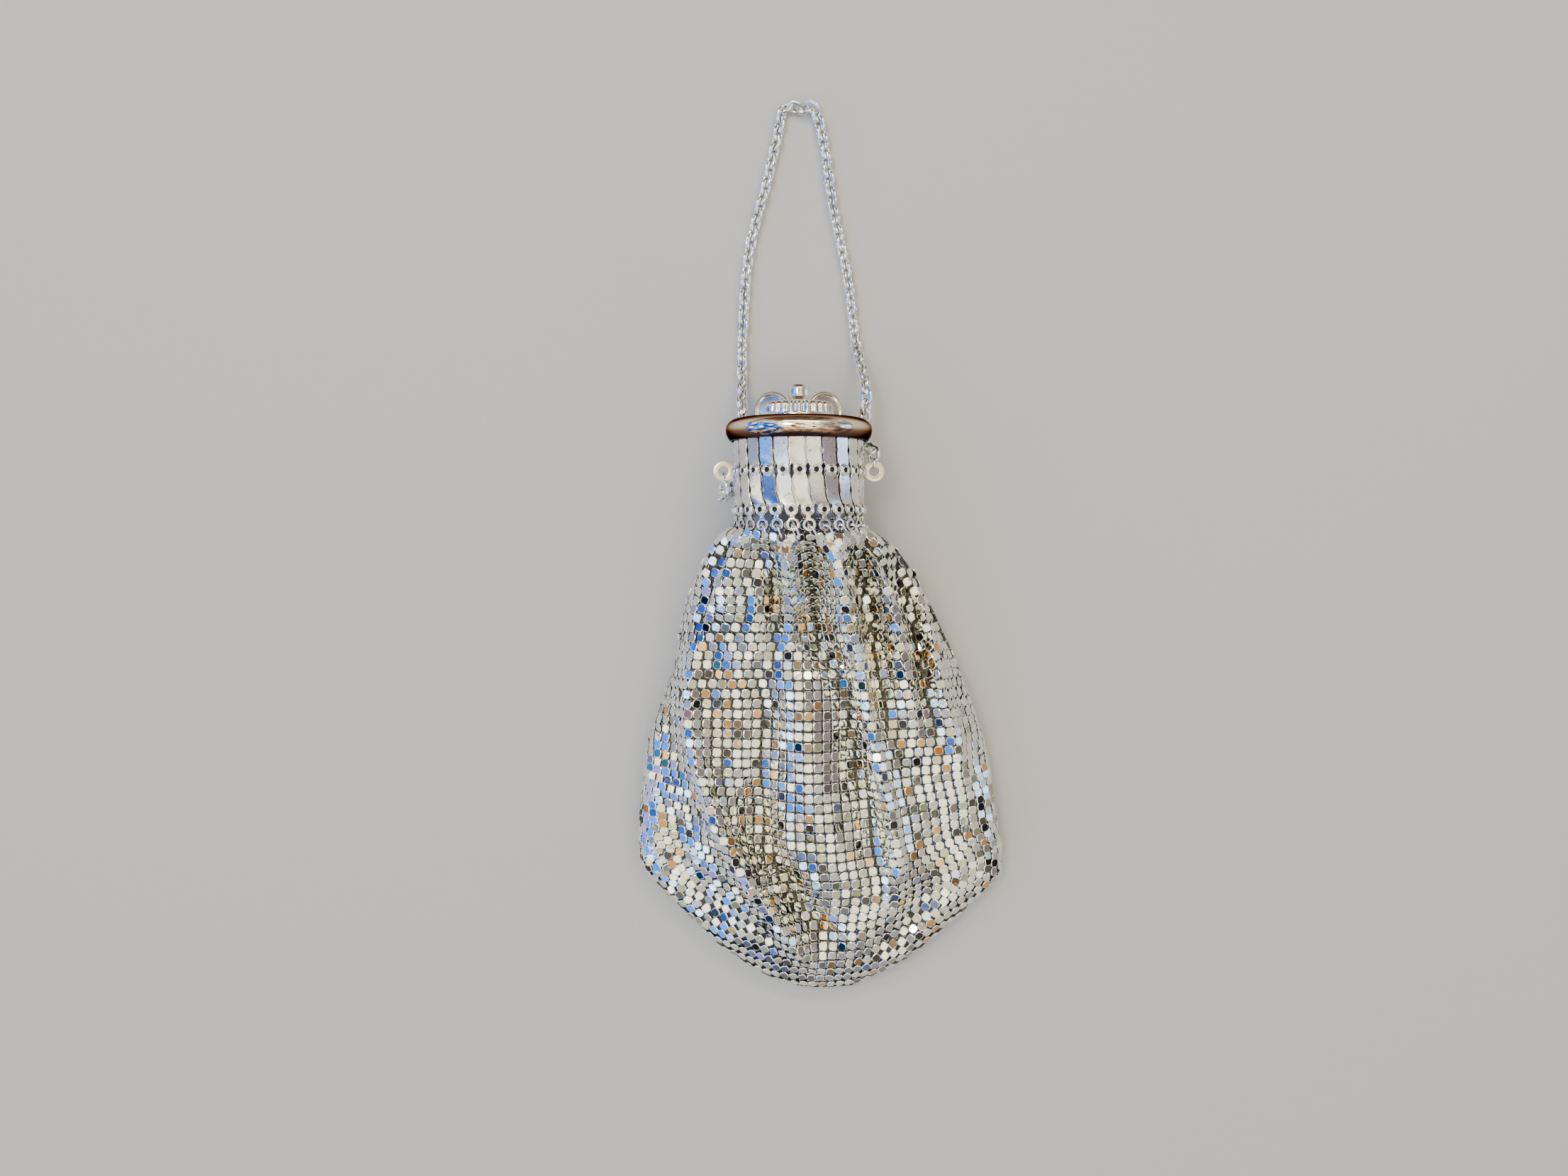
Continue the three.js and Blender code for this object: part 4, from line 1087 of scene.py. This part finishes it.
def build_hooks():
    """A wire eye from each loop of the collar down to the mesh's first row."""
    bm = bmesh.new()
    for i in range(SLAT_COUNT):
        hook = wire_ring(HOOK_RADIUS, HOOK_WIRE, 22, 8)
        bmesh.ops.scale(hook, verts=hook.verts, vec=(1, HOOK_STRETCH, 1))
        rotate(hook, QUARTER_TURN, "Y")
        rotate(hook, math.radians(dice.uniform(20, 55)), "Y")
        rotate(hook, math.radians(dice.uniform(12, 34)), "Z")
        move(hook, 0.8, -LOOP_DROP - 2.1, GATE_RADIUS + 0.3)
        rotate(hook, (i + 0.5) * SLAT_PITCH + lean(-LOOP_DROP) / GATE_RADIUS, "Y")
        gather(bm, hook)
    mesh = to_mesh(bm, NECK)
    for v in mesh.vertices:
        v.co.z = max(v.co.z, FLOOR_GAP * MM)
    piece("wire_hooks", mesh, chain_metal, 60)


def area_light(name, place, size, colour, power):
    """A soft light that points at the middle of the purse."""
    data = bpy.data.lights.new(name, "AREA")
    data.shape = "RECTANGLE"
    data.size, data.size_y = size
    data.color = colour
    data.energy = power
    made = bpy.data.objects.new(name, data)
    made.location = place
    made.rotation_euler = (-Vector(place)).to_track_quat("-Z", "Y").to_euler()
    made.visible_camera = False
    bpy.context.scene.collection.objects.link(made)


# Soft panels of the room: direction, half angles in degrees where it is full and where it ends, colour.
ROOM_PANELS = [
    ((0.0, 0.96, 0.28), 28, 52, (0.16, 0.1, 0.07)),
    ((0.0, -0.98, 0.1), 26, 44, (0.3, 0.3, 0.36)),
    ((0.9, 0.05, 0.42), 24, 44, (0.4, 0.34, 0.35)),
    ((0.96, 0.02, 0.2), 9, 15, (1.0, 1.35, 2.2)),
    ((0.75, -0.5, 0.75), 8, 18, (1.2, 1.16, 1.0)),
]
# The window's side: direction, half angles where it is full and where it ends, and its patches.
WINDOW = ((-0.92, -0.25, 0.3), 40, 50)
WINDOW_PATCHES = [
    (0.0, (0.03, 0.24, 1.5)),
    (0.2, (0.05, 0.6, 3.0)),
    (0.44, (0.02, 0.08, 0.45)),
    (0.5, (0.45, 0.4, 1.7)),
    (0.62, (1.7, 2.8, 4.2)),
    (0.76, (0.3, 0.32, 0.5)),
    (0.84, (1.9, 1.85, 1.5)),
]
# What the walls show from the level of the table upward, by the height of the direction.
WALL_COLOURS = [
    (0.0, (0.5, 0.45, 0.38)),
    (0.6, (1.5, 1.46, 1.26)),
]
# What the ceiling shows, patch by patch: from which share of the patches on, and its colour.
CEILING_PATCHES = [
    (0.0, (2.3, 2.24, 1.74)),
    (0.72, (1.3, 1.1, 0.8)),
    (0.78, (0.5, 0.3, 0.14)),
    (0.85, (0.05, 0.045, 0.04)),
    (0.91, (0.42, 0.45, 0.28)),
    (0.96, (0.9, 0.42, 0.1)),
]


def soft_room():
    """The room that the metal mirrors; the camera itself sees a plain pale backdrop."""
    world = bpy.data.worlds.new("soft_room")
    bpy.context.scene.world = world
    world.use_nodes = True
    tree = world.node_tree
    link = tree.links.new
    back = tree.nodes["Background"]
    place = node(tree, "ShaderNodeTexCoord").outputs["Generated"]
    split = node(tree, "ShaderNodeSeparateXYZ")
    link(place, split.inputs["Vector"])
    up = split.outputs["Z"]
    cells = node(tree, "ShaderNodeTexVoronoi", Scale=7.5)
    link(place, cells.inputs["Vector"])
    pick = node(tree, "ShaderNodeSeparateColor")
    link(cells.outputs["Color"], pick.inputs["Color"])
    walls = ramped(tree, up, WALL_COLOURS, blend="LINEAR")
    ceiling = ramped(tree, pick.outputs["Red"], CEILING_PATCHES)
    window = ramped(tree, pick.outputs["Green"], WINDOW_PATCHES)
    last = mixed(tree, ranged(tree, up, 0.72, 0.8), walls, ceiling)
    panels = [(way, full, ends, (*colour, 1)) for way, full, ends, colour in ROOM_PANELS]
    for way, full, ends, colour in (*panels, (*WINDOW, window)):
        toward = node(tree, "ShaderNodeVectorMath", operation="DOT_PRODUCT")
        toward.inputs[1].default_value = Vector(way).normalized()
        link(place, toward.inputs[0])
        amount = ranged(tree, toward.outputs["Value"], math.cos(math.radians(ends)),
                        math.cos(math.radians(full)), curve="SMOOTHSTEP")
        last = mixed(tree, amount, last, colour)
    uneven = ranged(tree, pick.outputs["Green"], 0.0, 1.0, 0.45, 1.6)
    overhead = ranged(tree, up, 0.78, 0.86)
    link(mixed(tree, overhead, uneven, 1.0, kind="FLOAT"), back.inputs["Strength"])
    link(last, back.inputs["Color"])
    plain = node(tree, "ShaderNodeBackground", Color=(0.8, 0.79, 0.77, 1))
    seen = node(tree, "ShaderNodeLightPath")
    either = node(tree, "ShaderNodeMixShader")
    link(seen.outputs["Is Camera Ray"], either.inputs["Fac"])
    link(back.outputs["Background"], either.inputs[1])
    link(plain.outputs["Background"], either.inputs[2])
    link(either.outputs["Shader"], tree.nodes["World Output"].inputs["Surface"])


def build_stage():
    bm = bmesh.new()
    bmesh.ops.create_grid(bm, x_segments=2, y_segments=2, size=1.6)
    bmesh.ops.translate(bm, verts=bm.verts, vec=(0, 0, -0.0002))
    floor = bpy.data.objects.new("pale_floor", to_mesh(bm))
    bpy.context.scene.collection.objects.link(floor)
    paint = bpy.data.materials.new("pale_floor")
    paint.use_nodes = True
    shader = paint.node_tree.nodes["Principled BSDF"]
    shader.inputs["Base Color"].default_value = (0.56, 0.545, 0.52, 1)
    shader.inputs["Roughness"].default_value = 0.8
    floor.data.materials.append(paint)
    soft_room()
    area_light("key_softbox", (-0.3, 0.2, 0.95), (0.22, 0.22), (1.0, 0.98, 0.94), 2.2)
    area_light("strip_light", (0.05, 0.6, 0.8), (0.9, 0.12), (1.0, 0.95, 0.84), 2.6)
    camera_data = bpy.data.cameras.new("camera")
    camera_data.sensor_width = CAMERA_SENSOR
    camera_data.lens = CAMERA_LENS
    camera_data.clip_start = 0.01
    camera = bpy.data.objects.new("camera", camera_data)
    camera.location = CAMERA_PLACE
    bpy.context.scene.collection.objects.link(camera)
    bpy.context.scene.camera = camera


build_mesh_cloth()
build_web()
build_gate()
build_cap()
build_boss()
build_knob()
for side, name in SIDES:
    build_lobe(side, name)
for side, name in SIDES:
    build_side_rings(side, name)
build_chain()
build_hooks()
build_stage()
